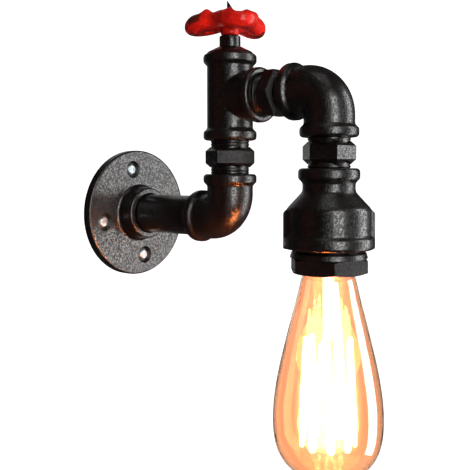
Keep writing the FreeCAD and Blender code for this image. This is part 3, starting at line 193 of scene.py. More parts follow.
# ---------------------------------------------------------------- stage, in metres, degrees and watts
FLOOR_Z = -0.8
BOWL_HOLE = 0.02
BOWL_FLAT = 1.6
BOWL_REACH = 2.2
BOWL_HALF_HEIGHT = 3.2
BOWL_FLAT_STEPS = 12
BOWL_BEND_STEPS = 48
BOWL_SIDES = 64
BOWL_GLOW = 1.25
LIGHT_TARGET = (0.0, -0.12, 0.0)
WHITE = (1.0, 1.0, 1.0)
SOFT_LIGHTS = (
    # light, azimuth, elevation, distance, width, height, colour
    ("key_light", -28.0, 8.0, 1.2, 0.55, 1.5, WHITE),
    ("side_light", 45.0, 0.0, 1.2, 0.6, 1.9, WHITE),
    ("top_light", -40.0, 78.0, 1.3, 0.6, 0.6, WHITE),
    ("left_glow", -112.0, 0.0, 1.2, 0.8, 1.8, (1.0, 0.22, 0.14)),
    ("back_light", 150.0, 18.0, 1.4, 0.6, 1.4, WHITE),
)
BULB_LIGHT_COLOUR = (1.0, 0.17, 0.05)
BULB_LIGHT_RADIUS = 0.030
BULB_LIGHT_DROP = 0.07


# ================================================================ mesh tools
def new_object(name, data):
    """New object in the scene for a mesh, a light or a camera."""
    made = bpy.data.objects.new(name, data)
    bpy.context.scene.collection.objects.link(made)
    return made


def shade_smooth(mesh):
    """Marks every face of a mesh as smooth."""
    mesh.polygons.foreach_set("use_smooth", np.ones(len(mesh.polygons), bool))


def mesh_piece(name, points, faces):
    """New smooth object from an (n, 3) array of points in metres and a list or array of faces."""
    mesh = bpy.data.meshes.new(name)
    mesh.from_pydata(np.asarray(points, float).tolist(), [], [list(map(int, f)) for f in faces])
    mesh.update()
    shade_smooth(mesh)
    return new_object(name, mesh)


def grid_faces(rows, columns, wrap_rows=False):
    """Quads between neighbouring points of a grid that is stored row by row. Each row is a closed
    ring; wrap_rows joins the last ring to the first."""
    last_row = rows if wrap_rows else rows - 1
    r, c = np.meshgrid(np.arange(last_row), np.arange(columns), indexing="ij")
    r, c = r.ravel(), c.ravel()
    r2, c2 = (r + 1) % rows, (c + 1) % columns
    return np.stack([r * columns + c, r * columns + c2, r2 * columns + c2, r2 * columns + c], 1)


def fan_faces(pole, ring):
    """Triangles that join a pole to each two neighbours on a closed ring of point numbers."""
    return np.stack([np.full(len(ring), pole), np.roll(ring, -1), ring], 1)


def pointed_grid(points, rows, around, start, end):
    """Grid of rings whose first ring is closed by a fan on the point start, and whose last ring
    by a fan on the point end; returns all points and faces."""
    first = np.arange(around)
    last = first + (rows - 1) * around
    start_fan = fan_faces(len(points), first)
    end_fan = fan_faces(len(points) + 1, last)[:, ::-1]
    return np.vstack([points, start, end]), [*grid_faces(rows, around), *start_fan, *end_fan]


def plugged_faces(rows, around):
    """Faces of a grid of rings whose first and last rings are closed by one flat face each."""
    last = (rows - 1) * around
    return [*grid_faces(rows, around), range(around)[::-1], range(last, last + around)]


def smooth_profile(points, count):
    """Catmull-Rom curve through (a, b) points: each span is a cubic whose ends follow its neighbours."""
    p = np.asarray(points, float)
    padded = np.vstack([2 * p[0] - p[1], p, 2 * p[-1] - p[-2]])
    spans = len(p) - 1
    t = np.linspace(0, spans, count)
    i = np.minimum(t.astype(int), spans - 1)
    u = (t - i)[:, None]
    a, b, c, d = padded[i], padded[i + 1], padded[i + 2], padded[i + 3]
    return 0.5 * (2 * b + (c - a) * u + (2 * a - 5 * b + 4 * c - d) * u ** 2
                  + (3 * b - a - 3 * c + d) * u ** 3)


def turned_points(profile, around, axis_y):
    """Surface of revolution: profile (radius, height) in mm, turned about the vertical line
    Y = axis_y; the points are in metres."""
    angle = np.linspace(0, 2 * math.pi, around, endpoint=False)
    radius = profile[:, 0][:, None] * MM
    x = radius * np.cos(angle)
    y = axis_y + radius * np.sin(angle)
    z = np.repeat(profile[:, 1][:, None] * MM, around, 1)
    return np.stack([x, y, z], 2).reshape(-1, 3)


def tube_points(path, radius, around):
    """Round tube: circles of the given radius, square to the path, carried along it by parallel transport."""
    ahead = np.gradient(path, axis=0)
    ahead /= np.linalg.norm(ahead, axis=1)[:, None]
    side = np.zeros_like(path)
    oblique = (0.3, 0.2, 0.9)
    first = np.cross(ahead[0], oblique)
    side[0] = first / np.linalg.norm(first)
    for i in range(1, len(path)):
        s = side[i - 1] - ahead[i] * np.dot(side[i - 1], ahead[i])
        side[i] = s / np.linalg.norm(s)
    other = np.cross(ahead, side)
    angle = np.linspace(0, 2 * math.pi, around, endpoint=False)
    ring = (side[:, None, :] * np.cos(angle)[None, :, None]
            + other[:, None, :] * np.sin(angle)[None, :, None])
    return (path[:, None, :] + ring * radius).reshape(-1, 3)


def polar(turn, reach):
    """Plan place (x, y) at an angle in degrees and a distance from the axis."""
    return reach * math.cos(math.radians(turn)), reach * math.sin(math.radians(turn))


# ================================================================ material tools
def set_inputs(tree, node, inputs):
    """Feeds a node's sockets, each by its name or number: a socket is linked, a value is set."""
    for name, value in inputs.items():
        if isinstance(value, bpy.types.NodeSocket):
            tree.links.new(value, node.inputs[name])
        else:
            node.inputs[name].default_value = value


def add_node(tree, kind, inputs=None, **settings):
    """Shader node with its settings, then its inputs."""
    made = tree.nodes.new(kind)
    for name, value in settings.items():
        setattr(made, name, value)
    set_inputs(tree, made, inputs or {})
    return made


def math_node(tree, operation, *values):
    """Math node; returns its output."""
    made = add_node(tree, "ShaderNodeMath", dict(enumerate(values)), operation=operation)
    return made.outputs[0]


def mix_colour(tree, factor, first, second):
    """Colour that goes from first to second as factor goes from 0 to 1."""
    made = add_node(tree, "ShaderNodeMix", {0: factor, 6: first, 7: second}, data_type="RGBA")
    return made.outputs[2]


def ramp(tree, factor, low, high):
    """Maps factor from low..high onto 0..1, smoothly and clamped."""
    made = add_node(tree, "ShaderNodeMapRange", {"Value": factor, "From Min": low, "From Max": high},
                    interpolation_type="SMOOTHSTEP")
    return made.outputs["Result"]


def noise(tree, vector, scale, detail, roughness):
    """Cloudy noise round 0.5; the scale is in clouds per metre."""
    made = add_node(tree, "ShaderNodeTexNoise", {
        "Vector": vector, "Scale": scale, "Detail": detail, "Roughness": roughness})
    return made.outputs["Fac"]


def new_group(name, inputs, outputs):
    """Empty shader node group with named sockets; returns the group and its two end nodes."""
    group = bpy.data.node_groups.new(name, "ShaderNodeTree")
    kinds = {"vector": "NodeSocketVector", "value": "NodeSocketFloat", "colour": "NodeSocketColor"}
    for label, kind, default in inputs:
        socket = group.interface.new_socket(label, in_out="INPUT", socket_type=kinds[kind])
        if default is not None:
            socket.default_value = default
    for label, kind in outputs:
        group.interface.new_socket(label, in_out="OUTPUT", socket_type=kinds[kind])
    return group, group.nodes.new("NodeGroupInput"), group.nodes.new("NodeGroupOutput")


def cast_grain_group():
    """Height of a painted casting: fine sand grain, shallow pits and broad unevenness; the mask
    goes from 0.12 in the grain's hollows to 0.84 on its peaks."""
    group, start, end = new_group(
        "Cast Grain",
        [("Vector", "vector", None), ("Grain Scale", "value", 900.0), ("Lump Scale", "value", 110.0),
         ("Grain", "value", 0.5), ("Lumps", "value", 0.5)],
        [("Height", "value"), ("Grain Mask", "value")])
    put = start.outputs
    pit_share, mask_low, mask_rise = 0.35, 0.12, 0.72
    grain = noise(group, put["Vector"], put["Grain Scale"], 3.0, 0.62)
    pits = add_node(group, "ShaderNodeTexVoronoi",
                    {"Vector": put["Vector"], "Scale": put["Grain Scale"], "Randomness": 1.0},
                    feature="SMOOTH_F1").outputs["Distance"]
    lumps = noise(group, put["Vector"], put["Lump Scale"], 2.0, 0.5)
    fine = math_node(group, "MULTIPLY", grain, put["Grain"])
    pitted = math_node(group, "MULTIPLY", pits, math_node(group, "MULTIPLY", put["Grain"], pit_share))
    broad = math_node(group, "MULTIPLY", lumps, put["Lumps"])
    height = math_node(group, "ADD", math_node(group, "ADD", fine, pitted), broad)
    peaks = math_node(group, "MULTIPLY", ramp(group, grain, 0.42, 0.64), mask_rise)
    mask = math_node(group, "ADD", peaks, mask_low)
    set_inputs(group, end, {"Height": height, "Grain Mask": mask})
    return group


def paint_tone_group():
    """Colour and roughness of paint that varies in soft patches, with fine flecks."""
    group, start, end = new_group(
        "Paint Tone",
        [("Vector", "vector", None), ("Patch Scale", "value", 60.0), ("Dark", "colour", None),
         ("Light", "colour", None), ("Smooth", "value", 0.3), ("Rough", "value", 0.5)],
        [("Color", "colour"), ("Roughness", "value")])
    put = start.outputs
    patch_share, fleck_share, flecks_per_patch = 0.6, 0.45, 14.0
    patches = noise(group, put["Vector"], put["Patch Scale"], 4.0, 0.55)
    fleck_scale = math_node(group, "MULTIPLY", put["Patch Scale"], flecks_per_patch)
    flecks = noise(group, put["Vector"], fleck_scale, 2.0, 0.7)
    patch = math_node(group, "MULTIPLY", ramp(group, patches, 0.36, 0.66), patch_share)
    fleck = math_node(group, "MULTIPLY", ramp(group, flecks, 0.5, 0.72), fleck_share)
    both = math_node(group, "ADD", patch, fleck)
    spread = math_node(group, "SUBTRACT", put["Rough"], put["Smooth"])
    rough = math_node(group, "ADD", put["Smooth"], math_node(group, "MULTIPLY", spread, both))
    set_inputs(group, end, {"Color": mix_colour(group, both, put["Dark"], put["Light"]), "Roughness": rough})
    return group


def brushed_group():
    """Height of fine lines that run along one direction: noise on a vector multiplied by Stretch."""
    group, start, end = new_group(
        "Brushed Lines",
        [("Vector", "vector", None), ("Stretch", "vector", (1.0, 1.0, 0.04)), ("Scale", "value", 2500.0)],
        [("Height", "value")])
    put = start.outputs
    stretched = add_node(group, "ShaderNodeVectorMath", {0: put["Vector"], 1: put["Stretch"]},
                         operation="MULTIPLY").outputs[0]
    set_inputs(group, end, {"Height": noise(group, stretched, put["Scale"], 3.0, 0.6)})
    return group


def dust_group():
    """Mask of thin dust: soft clouds, stronger where Normal points at the sky."""
    group, start, end = new_group(
        "Dust",
        [("Vector", "vector", None), ("Normal", "vector", None), ("Amount", "value", 0.2)],
        [("Mask", "value")])
    put = start.outputs
    upward = add_node(group, "ShaderNodeSeparateXYZ", {0: put["Normal"]}).outputs["Z"]
    up = ramp(group, upward, 0.1, 0.95)
    cloud = ramp(group, noise(group, put["Vector"], 160.0, 4.0, 0.6), 0.35, 0.75)
    mask = math_node(group, "MULTIPLY", math_node(group, "MULTIPLY", up, cloud), put["Amount"])
    set_inputs(group, end, {"Mask": mask})
    return group


GROUP_MAKERS = {
    "Cast Grain": cast_grain_group,
    "Paint Tone": paint_tone_group,
    "Brushed Lines": brushed_group,
    "Dust": dust_group,
}
GROUPS = {}


def use_group(tree, name, inputs):
    """Places a shared node group in a material, building the group the first time; returns its
    outputs."""
    if name not in GROUPS:
        GROUPS[name] = GROUP_MAKERS[name]()
    return add_node(tree, "ShaderNodeGroup", inputs, node_tree=GROUPS[name]).outputs


def new_material(name, viewport_colour=None):
    """Material with a Principled shader; returns material, tree, shader and object coordinates."""
    material = bpy.data.materials.new(name)
    material.use_nodes = True
    tree = material.node_tree
    shader = tree.nodes["Principled BSDF"]
    coords = add_node(tree, "ShaderNodeTexCoord").outputs["Object"]
    if viewport_colour is not None:
        material.diffuse_color = viewport_colour
    return material, tree, shader, coords


def bump(tree, shader, height, distance, strength=1.0):
    """Bump node from a height into the shader's normal; the distance is in metres."""
    made = add_node(tree, "ShaderNodeBump", {"Height": height, "Distance": distance,
                                             "Strength": strength})
    set_inputs(tree, shader, {"Normal": made.outputs["Normal"]})


def rgb(*values):
    """Opaque colour from three linear values."""
    return (*values, 1.0)


# ================================================================ finishes
def black_paint(name, grain_scale, lump_scale, grain, lumps, smooth, rough, depth):
    """Glossy black paint over iron: near-black with a brown cast, sand grain in the surface whose
    peaks carry most of the gloss, and a little warm dust where it faces up."""
    material, tree, shader, coords = new_material(name, rgb(0.02, 0.02, 0.02))
    tones = use_group(tree, "Paint Tone", {
        "Vector": coords, "Patch Scale": 75.0, "Dark": rgb(0.0026, 0.0015, 0.0012),
        "Light": rgb(0.0068, 0.0050, 0.0044), "Smooth": smooth, "Rough": rough})
    cast = use_group(tree, "Cast Grain", {
        "Vector": coords, "Grain Scale": grain_scale, "Lump Scale": lump_scale,
        "Grain": grain, "Lumps": lumps})
    normal = add_node(tree, "ShaderNodeNewGeometry").outputs["Normal"]
    dust = use_group(tree, "Dust", {"Vector": coords, "Normal": normal, "Amount": 0.05})
    dusty = mix_colour(tree, dust["Mask"], tones["Color"], rgb(0.12, 0.105, 0.09))
    set_inputs(tree, shader, {
        "Base Color": dusty, "Roughness": tones["Roughness"], "Specular IOR Level": 0.3,
        "Coat Weight": cast["Grain Mask"], "Coat Roughness": 0.2, "Coat IOR": 1.65})
    bump(tree, shader, cast["Height"], depth)
    return material


def metal(name, dark, light, smooth, rough, stretch, scale, depth):
    """Bare or plated metal with fine working lines."""
    material, tree, shader, coords = new_material(name, rgb(*light))
    tones = use_group(tree, "Paint Tone", {
        "Vector": coords, "Patch Scale": 220.0, "Dark": rgb(*dark), "Light": rgb(*light),
        "Smooth": smooth, "Rough": rough})
    lines = use_group(tree, "Brushed Lines", {"Vector": coords, "Stretch": stretch, "Scale": scale})
    set_inputs(tree, shader, {
        "Base Color": tones["Color"], "Roughness": tones["Roughness"], "Metallic": 1.0})
    bump(tree, shader, lines["Height"], depth)
    return material


def dull(name, dark, light, smooth, rough, grain_scale, depth):
    """Ceramic, rubber, fibre or dark glass with fine grain."""
    material, tree, shader, coords = new_material(name, rgb(*light))
    tones = use_group(tree, "Paint Tone", {
        "Vector": coords, "Patch Scale": 130.0, "Dark": rgb(*dark), "Light": rgb(*light),
        "Smooth": smooth, "Rough": rough})
    cast = use_group(tree, "Cast Grain", {
        "Vector": coords, "Grain Scale": grain_scale, "Lump Scale": 200.0, "Grain": 0.6, "Lumps": 0.3})
    set_inputs(tree, shader, {"Base Color": tones["Color"], "Roughness": tones["Roughness"]})
    bump(tree, shader, cast["Height"], depth)
    return material


def red_enamel():
    """Red enamel over cast iron: deep red, darkened to near black in patches where a noise says the paint is
    thin, and at the listed spots that the point attribute marks."""
    material, tree, shader, coords = new_material("red_enamel", rgb(0.5, 0.01, 0.01))
    tones = use_group(tree, "Paint Tone", {
        "Vector": coords, "Patch Scale": 85.0, "Dark": rgb(0.56, 0.010, 0.006),
        "Light": rgb(0.96, 0.022, 0.012), "Smooth": 0.24, "Rough": 0.42})
    cast = use_group(tree, "Cast Grain", {
        "Vector": coords, "Grain Scale": 620.0, "Lump Scale": 210.0, "Grain": 0.35, "Lumps": 1.0})
    # darker colour at noisy patches and at the listed spots that the point attribute marks
    spot_share, darkest_mix = 0.55, 0.9
    wear = add_node(tree, "ShaderNodeAttribute", attribute_name="wear").outputs["Fac"]
    thin = noise(tree, coords, 62.0, 3.0, 0.6)
    darkening = math_node(tree, "ADD", math_node(tree, "MULTIPLY", wear, spot_share), thin)
    patch = math_node(tree, "MULTIPLY", ramp(tree, darkening, 0.66, 0.86), darkest_mix)
    colour = mix_colour(tree, patch, tones["Color"], rgb(0.040, 0.012, 0.006))
    set_inputs(tree, shader, {
        "Base Color": colour, "Roughness": tones["Roughness"], "Specular IOR Level": 0.12,
        "Coat Weight": 0.3, "Coat Roughness": 0.04})
    bump(tree, shader, cast["Height"], 0.0011)
    return material


def blown_glass(name, pale, deep, side, rim, low, high, clearness=1.0, roughness=0.0):
    """Tinted glass: from pale at the height low to deep at high, another tint where it turns
    sideways, darkest where it is seen edge-on through more of the wall, with faint streaks.
    Returns material, height and facing value, which is 0 where the glass is seen square on."""
    material, tree, shader, coords = new_material(name, rgb(*pale))
    rise_share, streak_share = 0.85, 0.2
    height = add_node(tree, "ShaderNodeSeparateXYZ", {0: coords}).outputs["Z"]
    streaks = noise(tree, coords, 70.0, 2.0, 0.5)
    share = math_node(tree, "ADD", math_node(tree, "MULTIPLY", ramp(tree, height, low, high), rise_share),
                      math_node(tree, "MULTIPLY", streaks, streak_share))
    body = mix_colour(tree, share, rgb(*pale), rgb(*deep))
    facing = add_node(tree, "ShaderNodeLayerWeight", {"Blend": 0.5}).outputs["Facing"]
    sides = mix_colour(tree, ramp(tree, facing, 0.15, 0.75), body, rgb(*side))
    edged = mix_colour(tree, ramp(tree, facing, 0.86, 0.97), sides, rgb(*rim))
    set_inputs(tree, shader, {
        "Base Color": edged, "Roughness": roughness, "IOR": 1.47, "Transmission Weight": clearness,
        "Specular IOR Level": 1.0})
    bump(tree, shader, streaks, 0.0004, 0.5)
    return material, height, facing


def lamp_glow(material, height, facing, tint, edge_tint, strength, spread, foot, top, fade):
    """Painted halo of the lit lamp: the glass emits light where it is seen square on, up to the facing value
    spread, between the heights foot and top; it fades over the given height at both ends. A painted rim glow
    in edge_tint, where the glass is seen edge-on, stands for light that runs inside the wall and comes out
    there."""
    tree = material.node_tree
    middle = math_node(tree, "SUBTRACT", 1.0, ramp(tree, facing, 0.02, spread))
    above_foot = ramp(tree, height, foot - fade, foot + fade)
    below_top = math_node(tree, "SUBTRACT", 1.0, ramp(tree, height, top - fade, top + fade))
    halo = math_node(tree, "MULTIPLY", middle, math_node(tree, "MULTIPLY", above_foot, below_top))
    glow = mix_colour(tree, halo, rgb(0.0, 0.0, 0.0), rgb(*tint))
    edge = ramp(tree, facing, 0.84, 0.99)
    set_inputs(tree, tree.nodes["Principled BSDF"], {
        "Emission Color": mix_colour(tree, edge, glow, rgb(*edge_tint)), "Emission Strength": strength})
    return material


def amber_glass():
    """The bulb's amber glass, with a clear outer gloss and a painted halo of the lit filament."""
    material, height, facing = blown_glass(
        "amber_glass", pale=(0.965, 0.56, 0.34), deep=(0.96, 0.60, 0.42), side=(0.95, 0.59, 0.38),
        rim=(0.60, 0.16, 0.07), low=GLASS_FOOT, high=CAP_RIM)
    tree = material.node_tree
    set_inputs(tree, tree.nodes["Principled BSDF"], {
        "Coat Weight": 1.0, "Coat IOR": 1.75, "Coat Roughness": 0.01})
    return lamp_glow(material, height, facing, tint=(1.0, 0.80, 0.42), edge_tint=(0.74, 0.25, 0.13),
                     strength=0.9, spread=0.12, foot=FILAMENT_FOOT, top=AMBER_HALO_TOP,
                     fade=AMBER_HALO_FADE)


def stem_glass():
    """The stem's clear glass, a little cloudy, with a painted glow that stands in for the filament's light
    shining through it from inside.
    """
    material, height, facing = blown_glass(
        "clear_glass", pale=(0.96, 0.95, 0.90), deep=(0.93, 0.90, 0.82), side=(0.93, 0.90, 0.82),
        rim=(0.85, 0.80, 0.68), low=CAP_RIM - STEM_REACH, high=CAP_RIM, clearness=0.85, roughness=0.05)
    return lamp_glow(material, height, facing, tint=(1.0, 0.80, 0.62), edge_tint=(0.05, 0.03, 0.02),
                     strength=9.0, spread=0.24, foot=GLASS_FOOT, top=CAP_RIM, fade=STEM_HALO_FADE)


def glowing_filament(strength):
    """Filament that glows in a warm tone that varies a little along the wire."""
    material, tree, shader, coords = new_material("filament", rgb(1.0, 0.72, 0.35))
    grain = ramp(tree, noise(tree, coords, 800.0, 2.0, 0.6), 0.3, 0.7)
    tint = mix_colour(tree, grain, rgb(1.0, 0.52, 0.22), rgb(1.0, 0.60, 0.30))
    set_inputs(tree, shader, {
        "Base Color": tint, "Roughness": 0.5, "Emission Color": tint, "Emission Strength": strength})
    return material


MATERIALS = {}


def build_materials(glow):
    """One material for each of the record's slots, under the slot's name."""
    for maker, finishes in ((black_paint, BLACK_PAINTS), (metal, METALS), (dull, DULL_FINISHES)):
        for slot, values in finishes.items():
            MATERIALS[slot] = maker(slot, *values)
    MATERIALS["red_enamel"] = red_enamel()
    MATERIALS["amber_glass"] = amber_glass()
    MATERIALS["clear_glass"] = stem_glass()
    MATERIALS["filament"] = glowing_filament(glow)


def dress(piece, slot):
    """Gives a piece the material of a record slot, and no other."""
    piece.data.materials.clear()
    piece.data.materials.append(MATERIALS[slot])


def finish_piece(piece, body, slot, node):
    """Gives a piece the material of a record slot and its body, and hides the node that it stands for."""
    dress(piece, slot)
    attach(piece, body)
    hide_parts(node)
    return piece


# ================================================================ pieces
def glass_bulb(around):
    """Blown pear: the outline of GLASS_PROFILE turned about the lamp's axis, and the same
    outline moved in by the wall, joined at the neck's end; both close on a point at the foot."""
    outline = smooth_profile([(r, CAP_RIM / MM - drop) for drop, r in GLASS_PROFILE], GLASS_RINGS)
    outline[-1, 0] = 0.0
    outline[:, 0] = np.clip(outline[:, 0], 0.0, GLASS_WIDEST)
    ahead = np.gradient(outline, axis=0)
    ahead /= np.linalg.norm(ahead, axis=1)[:, None]
    inward = np.stack([ahead[:, 1], -ahead[:, 0]], 1)
    inner = outline + inward * GLASS_WALL
    inner[-1] = (0.0, outline[-1, 1] + GLASS_WALL)
    inner[:, 0] = np.maximum(inner[:, 0], 0.0)
    profile = np.vstack([outline[:-1][::-1], inner[:-1]])
    outer_pole = (0.0, LAMP_AXIS_Y, outline[-1, 1] * MM)
    inner_pole = (0.0, LAMP_AXIS_Y, inner[-1, 1] * MM)
    points = turned_points(profile, around, LAMP_AXIS_Y)
    return mesh_piece("glass_bulb", *pointed_grid(points, len(profile), around, outer_pole, inner_pole))


def hairpin_path(steps):
    """Cage of hairpins: the height swings between top and foot while the angle goes round,
    and the radius follows the height; each turn-round is a half circle of the hairpin's width."""
    rows = []
    for i in range(FILAMENT_HAIRPINS):
        for at_top in (True, False):
            radius = FILAMENT_TOP_RADIUS if at_top else FILAMENT_FOOT_RADIUS
            turn = 2 * math.pi * (i + (0.0 if at_top else 0.5)) / FILAMENT_HAIRPINS
            height = -FILAMENT_TOP_DROP - (0.0 if at_top else FILAMENT_HEIGHT)
            bend = np.linspace(-1.0, 1.0, steps)
            swell = np.sqrt(np.maximum(1.0 - bend ** 2, 0.0)) * HAIRPIN_WIDTH / 2
            lift = (swell - HAIRPIN_WIDTH / 2) * (1.0 if at_top else -1.0)
            angle = turn + bend * HAIRPIN_WIDTH / 2 / radius
            rows.append(np.stack([radius * np.cos(angle), radius * np.sin(angle), height + lift], 1))
    path = np.vstack(rows)[steps // 2:-(steps // 2 + steps)]
    return path * MM + np.array((0.0, LAMP_AXIS_Y, CAP_RIM))


def filament_cage():
    """One glowing wire carried along the hairpin path; each long leg bows out by a sine arch."""
    path = hairpin_path(HAIRPIN_STEPS)
    rows = []
    for a, b in zip(path[:-1], path[1:]):
        is_leg = np.linalg.norm(b - a) > LEG_SHORTEST * MM
        t = np.linspace(0, 1, LEG_STEPS if is_leg else 1, endpoint=False)[:, None]
        stretch = a + (b - a) * t
        if is_leg:
            outwards = stretch - np.array((0.0, LAMP_AXIS_Y, 0.0))
            outwards[:, 2] = 0.0
            outwards /= np.linalg.norm(outwards, axis=1)[:, None]
            stretch = stretch + outwards * (np.sin(math.pi * t) * LEG_BOW * MM)
        rows.append(stretch)
    wire = np.vstack(rows + [path[-1:]])
    points = tube_points(wire, FILAMENT_STRAND / 2 * MM, FILAMENT_SIDES)
    return mesh_piece("filament_cage", *pointed_grid(points, len(wire), FILAMENT_SIDES, wire[0], wire[-1]))


def wheel_rim():
    """Waving rim: centre line at radius R + W cos 3a and height H - D cos 3a, carrying a
    rounded-square section |c|^(2/n), |s|^(2/n) of half width and half height; its upper and
    lower sides move up by a bell curve exp(-d^2 / 2q^2) at each cast lump."""
    around, section = RIM_STEPS
    a = np.linspace(0, 2 * math.pi, around, endpoint=False)[:, None]
    s = np.linspace(0, 2 * math.pi, section, endpoint=False)[None, :]
    wave = np.cos(WHEEL_LOBES * a)
    power = 2 / RIM_SQUARENESS
    c, d = np.cos(s), np.sin(s)
    across = np.sign(c) * np.abs(c) ** power * RIM_HALF_WIDTH
    upright = np.sign(d) * np.abs(d) ** power * RIM_HALF_HEIGHT
    radius = WHEEL_MEAN_RADIUS + WHEEL_WAVE * wave + across
    height = RIM_HEIGHT - WHEEL_DROOP * wave + upright
    x, y = radius * np.cos(a), radius * np.sin(a)
    for turn, reach, above, below, spread in RIM_LUMPS:
        lump_x, lump_y = polar(turn, reach)
        bell = np.exp(-((x - lump_x) ** 2 + (y - lump_y) ** 2) / (2 * spread ** 2))
        height = height + bell * (above * np.maximum(d, 0.0) + below * np.maximum(-d, 0.0))
    points = np.stack([x, y, height], 2).reshape(-1, 3)
    return points, grid_faces(around, section, wrap_rows=True)[:, ::-1]


def wheel_arm(turn):
    """Arm of the wheel: an oval section carried outwards, whose size grows with the square of the
    distance from the arm's middle."""
    t = np.linspace(0, 1, ARM_STEPS)[:, None]
    s = np.linspace(0, 2 * math.pi, ARM_STEPS, endpoint=False)[None, :]
    reach = ARM_INSET + t * (WHEEL_MEAN_RADIUS + WHEEL_WAVE - 2 * ARM_INSET)
    waist = 1.0 + ARM_FLARE * (2 * t - 1) ** 2
    side = np.cos(s) * ARM_HALF_WIDTH * waist
    up = HUB_HEIGHT / 2 + np.sin(s) * ARM_HALF_HEIGHT * waist
    x = reach * math.cos(turn) - side * math.sin(turn)
    y = reach * math.sin(turn) + side * math.cos(turn)
    return np.stack([x, y, up], 2).reshape(-1, 3), plugged_faces(ARM_STEPS, ARM_STEPS)


def wheel_hub():
    """Hub of the wheel: a barrel with a round bore, turned from a profile that runs out along the
    foot, up the side and back along the top, which mirrors the foot."""
    rings, around = HUB_STEPS
    foot = [(HUB_BORE, HUB_BORE_LIP)] + [(HUB_RADIUS - inset, height) for inset, height in HUB_CORNER]
    top = [(radius, HUB_HEIGHT - height) for radius, height in reversed(foot)]
    points = turned_points(smooth_profile(foot + top, rings), around, 0.0) / MM
    return points, grid_faces(rings, around, wrap_rows=True)


def one_skin(piece, voxel, passes):
    """Remeshes a piece in cubes of the voxel size, then moves each point a share of the way to
    the mean of its neighbours, passes times, which rounds the edges."""
    remesh = piece.modifiers.new("one skin", "REMESH")
    remesh.mode = "VOXEL"
    remesh.voxel_size = voxel
    remesh.use_smooth_shade = True
    soft = piece.modifiers.new("soft corners", "SMOOTH")
    soft.factor = SMOOTHING_SHARE
    soft.iterations = passes
    graph = bpy.context.evaluated_depsgraph_get()
    mesh = bpy.data.meshes.new_from_object(piece.evaluated_get(graph))
    piece.modifiers.clear()
    piece.data = mesh
    shade_smooth(mesh)
    return piece


def softened_casting(node, voxel, passes):
    """Copy of a casting's solid with its seams merged and its edges rounded by one_skin."""
    piece = new_object(node + "_soft", NODES[node].data.copy())
    merged = bmesh.new()
    merged.from_mesh(piece.data)
    bmesh.ops.remove_doubles(merged, verts=merged.verts, dist=MERGE_DISTANCE)
    merged.to_mesh(piece.data)
    merged.free()
    return one_skin(piece, voxel, passes)


def mark_dark_spots(mesh, place):
    """Stores a point attribute that darkens the enamel: the sum of exp(-d^2 / 2q^2) over the listed dark
    spots.
    """
    corners = np.empty(len(mesh.vertices) * 3)
    mesh.vertices.foreach_get("co", corners)
    corners = (corners.reshape(-1, 3) - place) / MM
    wear = np.zeros(len(corners))
    for turn, reach, height, spread in DARK_SPOT_PLACES:
        spot = (*polar(turn, reach), height)
        wear += np.exp(-((corners - spot) ** 2).sum(1) / (2 * spread ** 2))
    mesh.attributes.new("wear", "FLOAT", "POINT").data.foreach_set("value", wear)


def cast_handwheel():
    """Rim, arms and hub joined, then remeshed into one skin and smoothed, as iron runs in a mould."""
    parts = [wheel_rim(), wheel_hub()]
    parts += [wheel_arm(2 * math.pi * i / WHEEL_LOBES) for i in range(WHEEL_LOBES)]
    faces, offset = [], 0
    for part_points, part_faces in parts:
        faces += [np.asarray(face) + offset for face in part_faces]
        offset += len(part_points)
    place = np.array((0.0, TEE_AXIS_Y, WHEEL_FOOT))
    points = np.vstack([part_points for part_points, part_faces in parts]) * MM + place
    wheel = one_skin(mesh_piece("handwheel_cast", points, faces), WHEEL_VOXEL, WHEEL_SMOOTHINGS)
    mark_dark_spots(wheel.data, place)
    return wheel


# ================================================================ stage
def stage_bowl():
    """Pale room turned about the lamp's axis: a flat floor, then half an ellipse that sweeps up far
    away and closes overhead."""
    bend = np.linspace(0, math.pi, BOWL_BEND_STEPS)[1:]
    flat = np.linspace(BOWL_HOLE, BOWL_FLAT, BOWL_FLAT_STEPS)
    radius = np.concatenate([flat, BOWL_FLAT + BOWL_REACH * np.sin(bend)])
    height = np.concatenate([0 * flat, BOWL_HALF_HEIGHT * (1 - np.cos(bend))])
    points = turned_points(np.stack([radius, height], 1) / MM, BOWL_SIDES, LAMP_AXIS_Y)
    points[:, 2] += FLOOR_Z
    floor = mesh_piece("stage_floor", points, plugged_faces(len(radius), BOWL_SIDES))
    material, tree, shader, coords = new_material("pale_floor")
    mottle = ramp(tree, noise(tree, coords, 3.0, 3.0, 0.5), 0.3, 0.7)
    tint = mix_colour(tree, mottle, rgb(0.90, 0.90, 0.90), rgb(0.92, 0.92, 0.92))
    set_inputs(tree, shader, {
        "Base Color": tint, "Roughness": 0.9, "Emission Color": tint, "Emission Strength": BOWL_GLOW})
    floor.data.materials.append(material)
    floor.visible_glossy = False
    floor.visible_diffuse = False
    floor.visible_shadow = False


def soft_light(name, azimuth, elevation, distance, width, height, colour, watts):
    """Area light that stands at an azimuth round the wall light and faces it."""
    data = bpy.data.lights.new(name, "AREA")
    data.shape = "RECTANGLE"
    data.size, data.size_y = width, height
    data.energy = watts
    data.color = colour
    a, e = math.radians(azimuth), math.radians(elevation)
    back = Vector((math.sin(a) * math.cos(e), -math.cos(a) * math.cos(e), math.sin(e)))
    light = new_object(name, data)
    light.location = Vector(LIGHT_TARGET) + back * distance
    light.rotation_mode = "QUATERNION"
    light.rotation_quaternion = (-back).to_track_quat("-Z", "Y")
    light.visible_camera = False


def bulb_light(watts):
    """Warm light of the lit lamp: a soft ball inside the glass, which isn't seen itself."""
    data = bpy.data.lights.new("bulb_light", "POINT")
    data.energy = watts
    data.color = BULB_LIGHT_COLOUR
    data.shadow_soft_size = BULB_LIGHT_RADIUS
    light = new_object("bulb_light", data)
    light.location = (0.0, LAMP_AXIS_Y, CAP_RIM - BULB_LIGHT_DROP)
    light.visible_camera = False
    light.visible_transmission = False


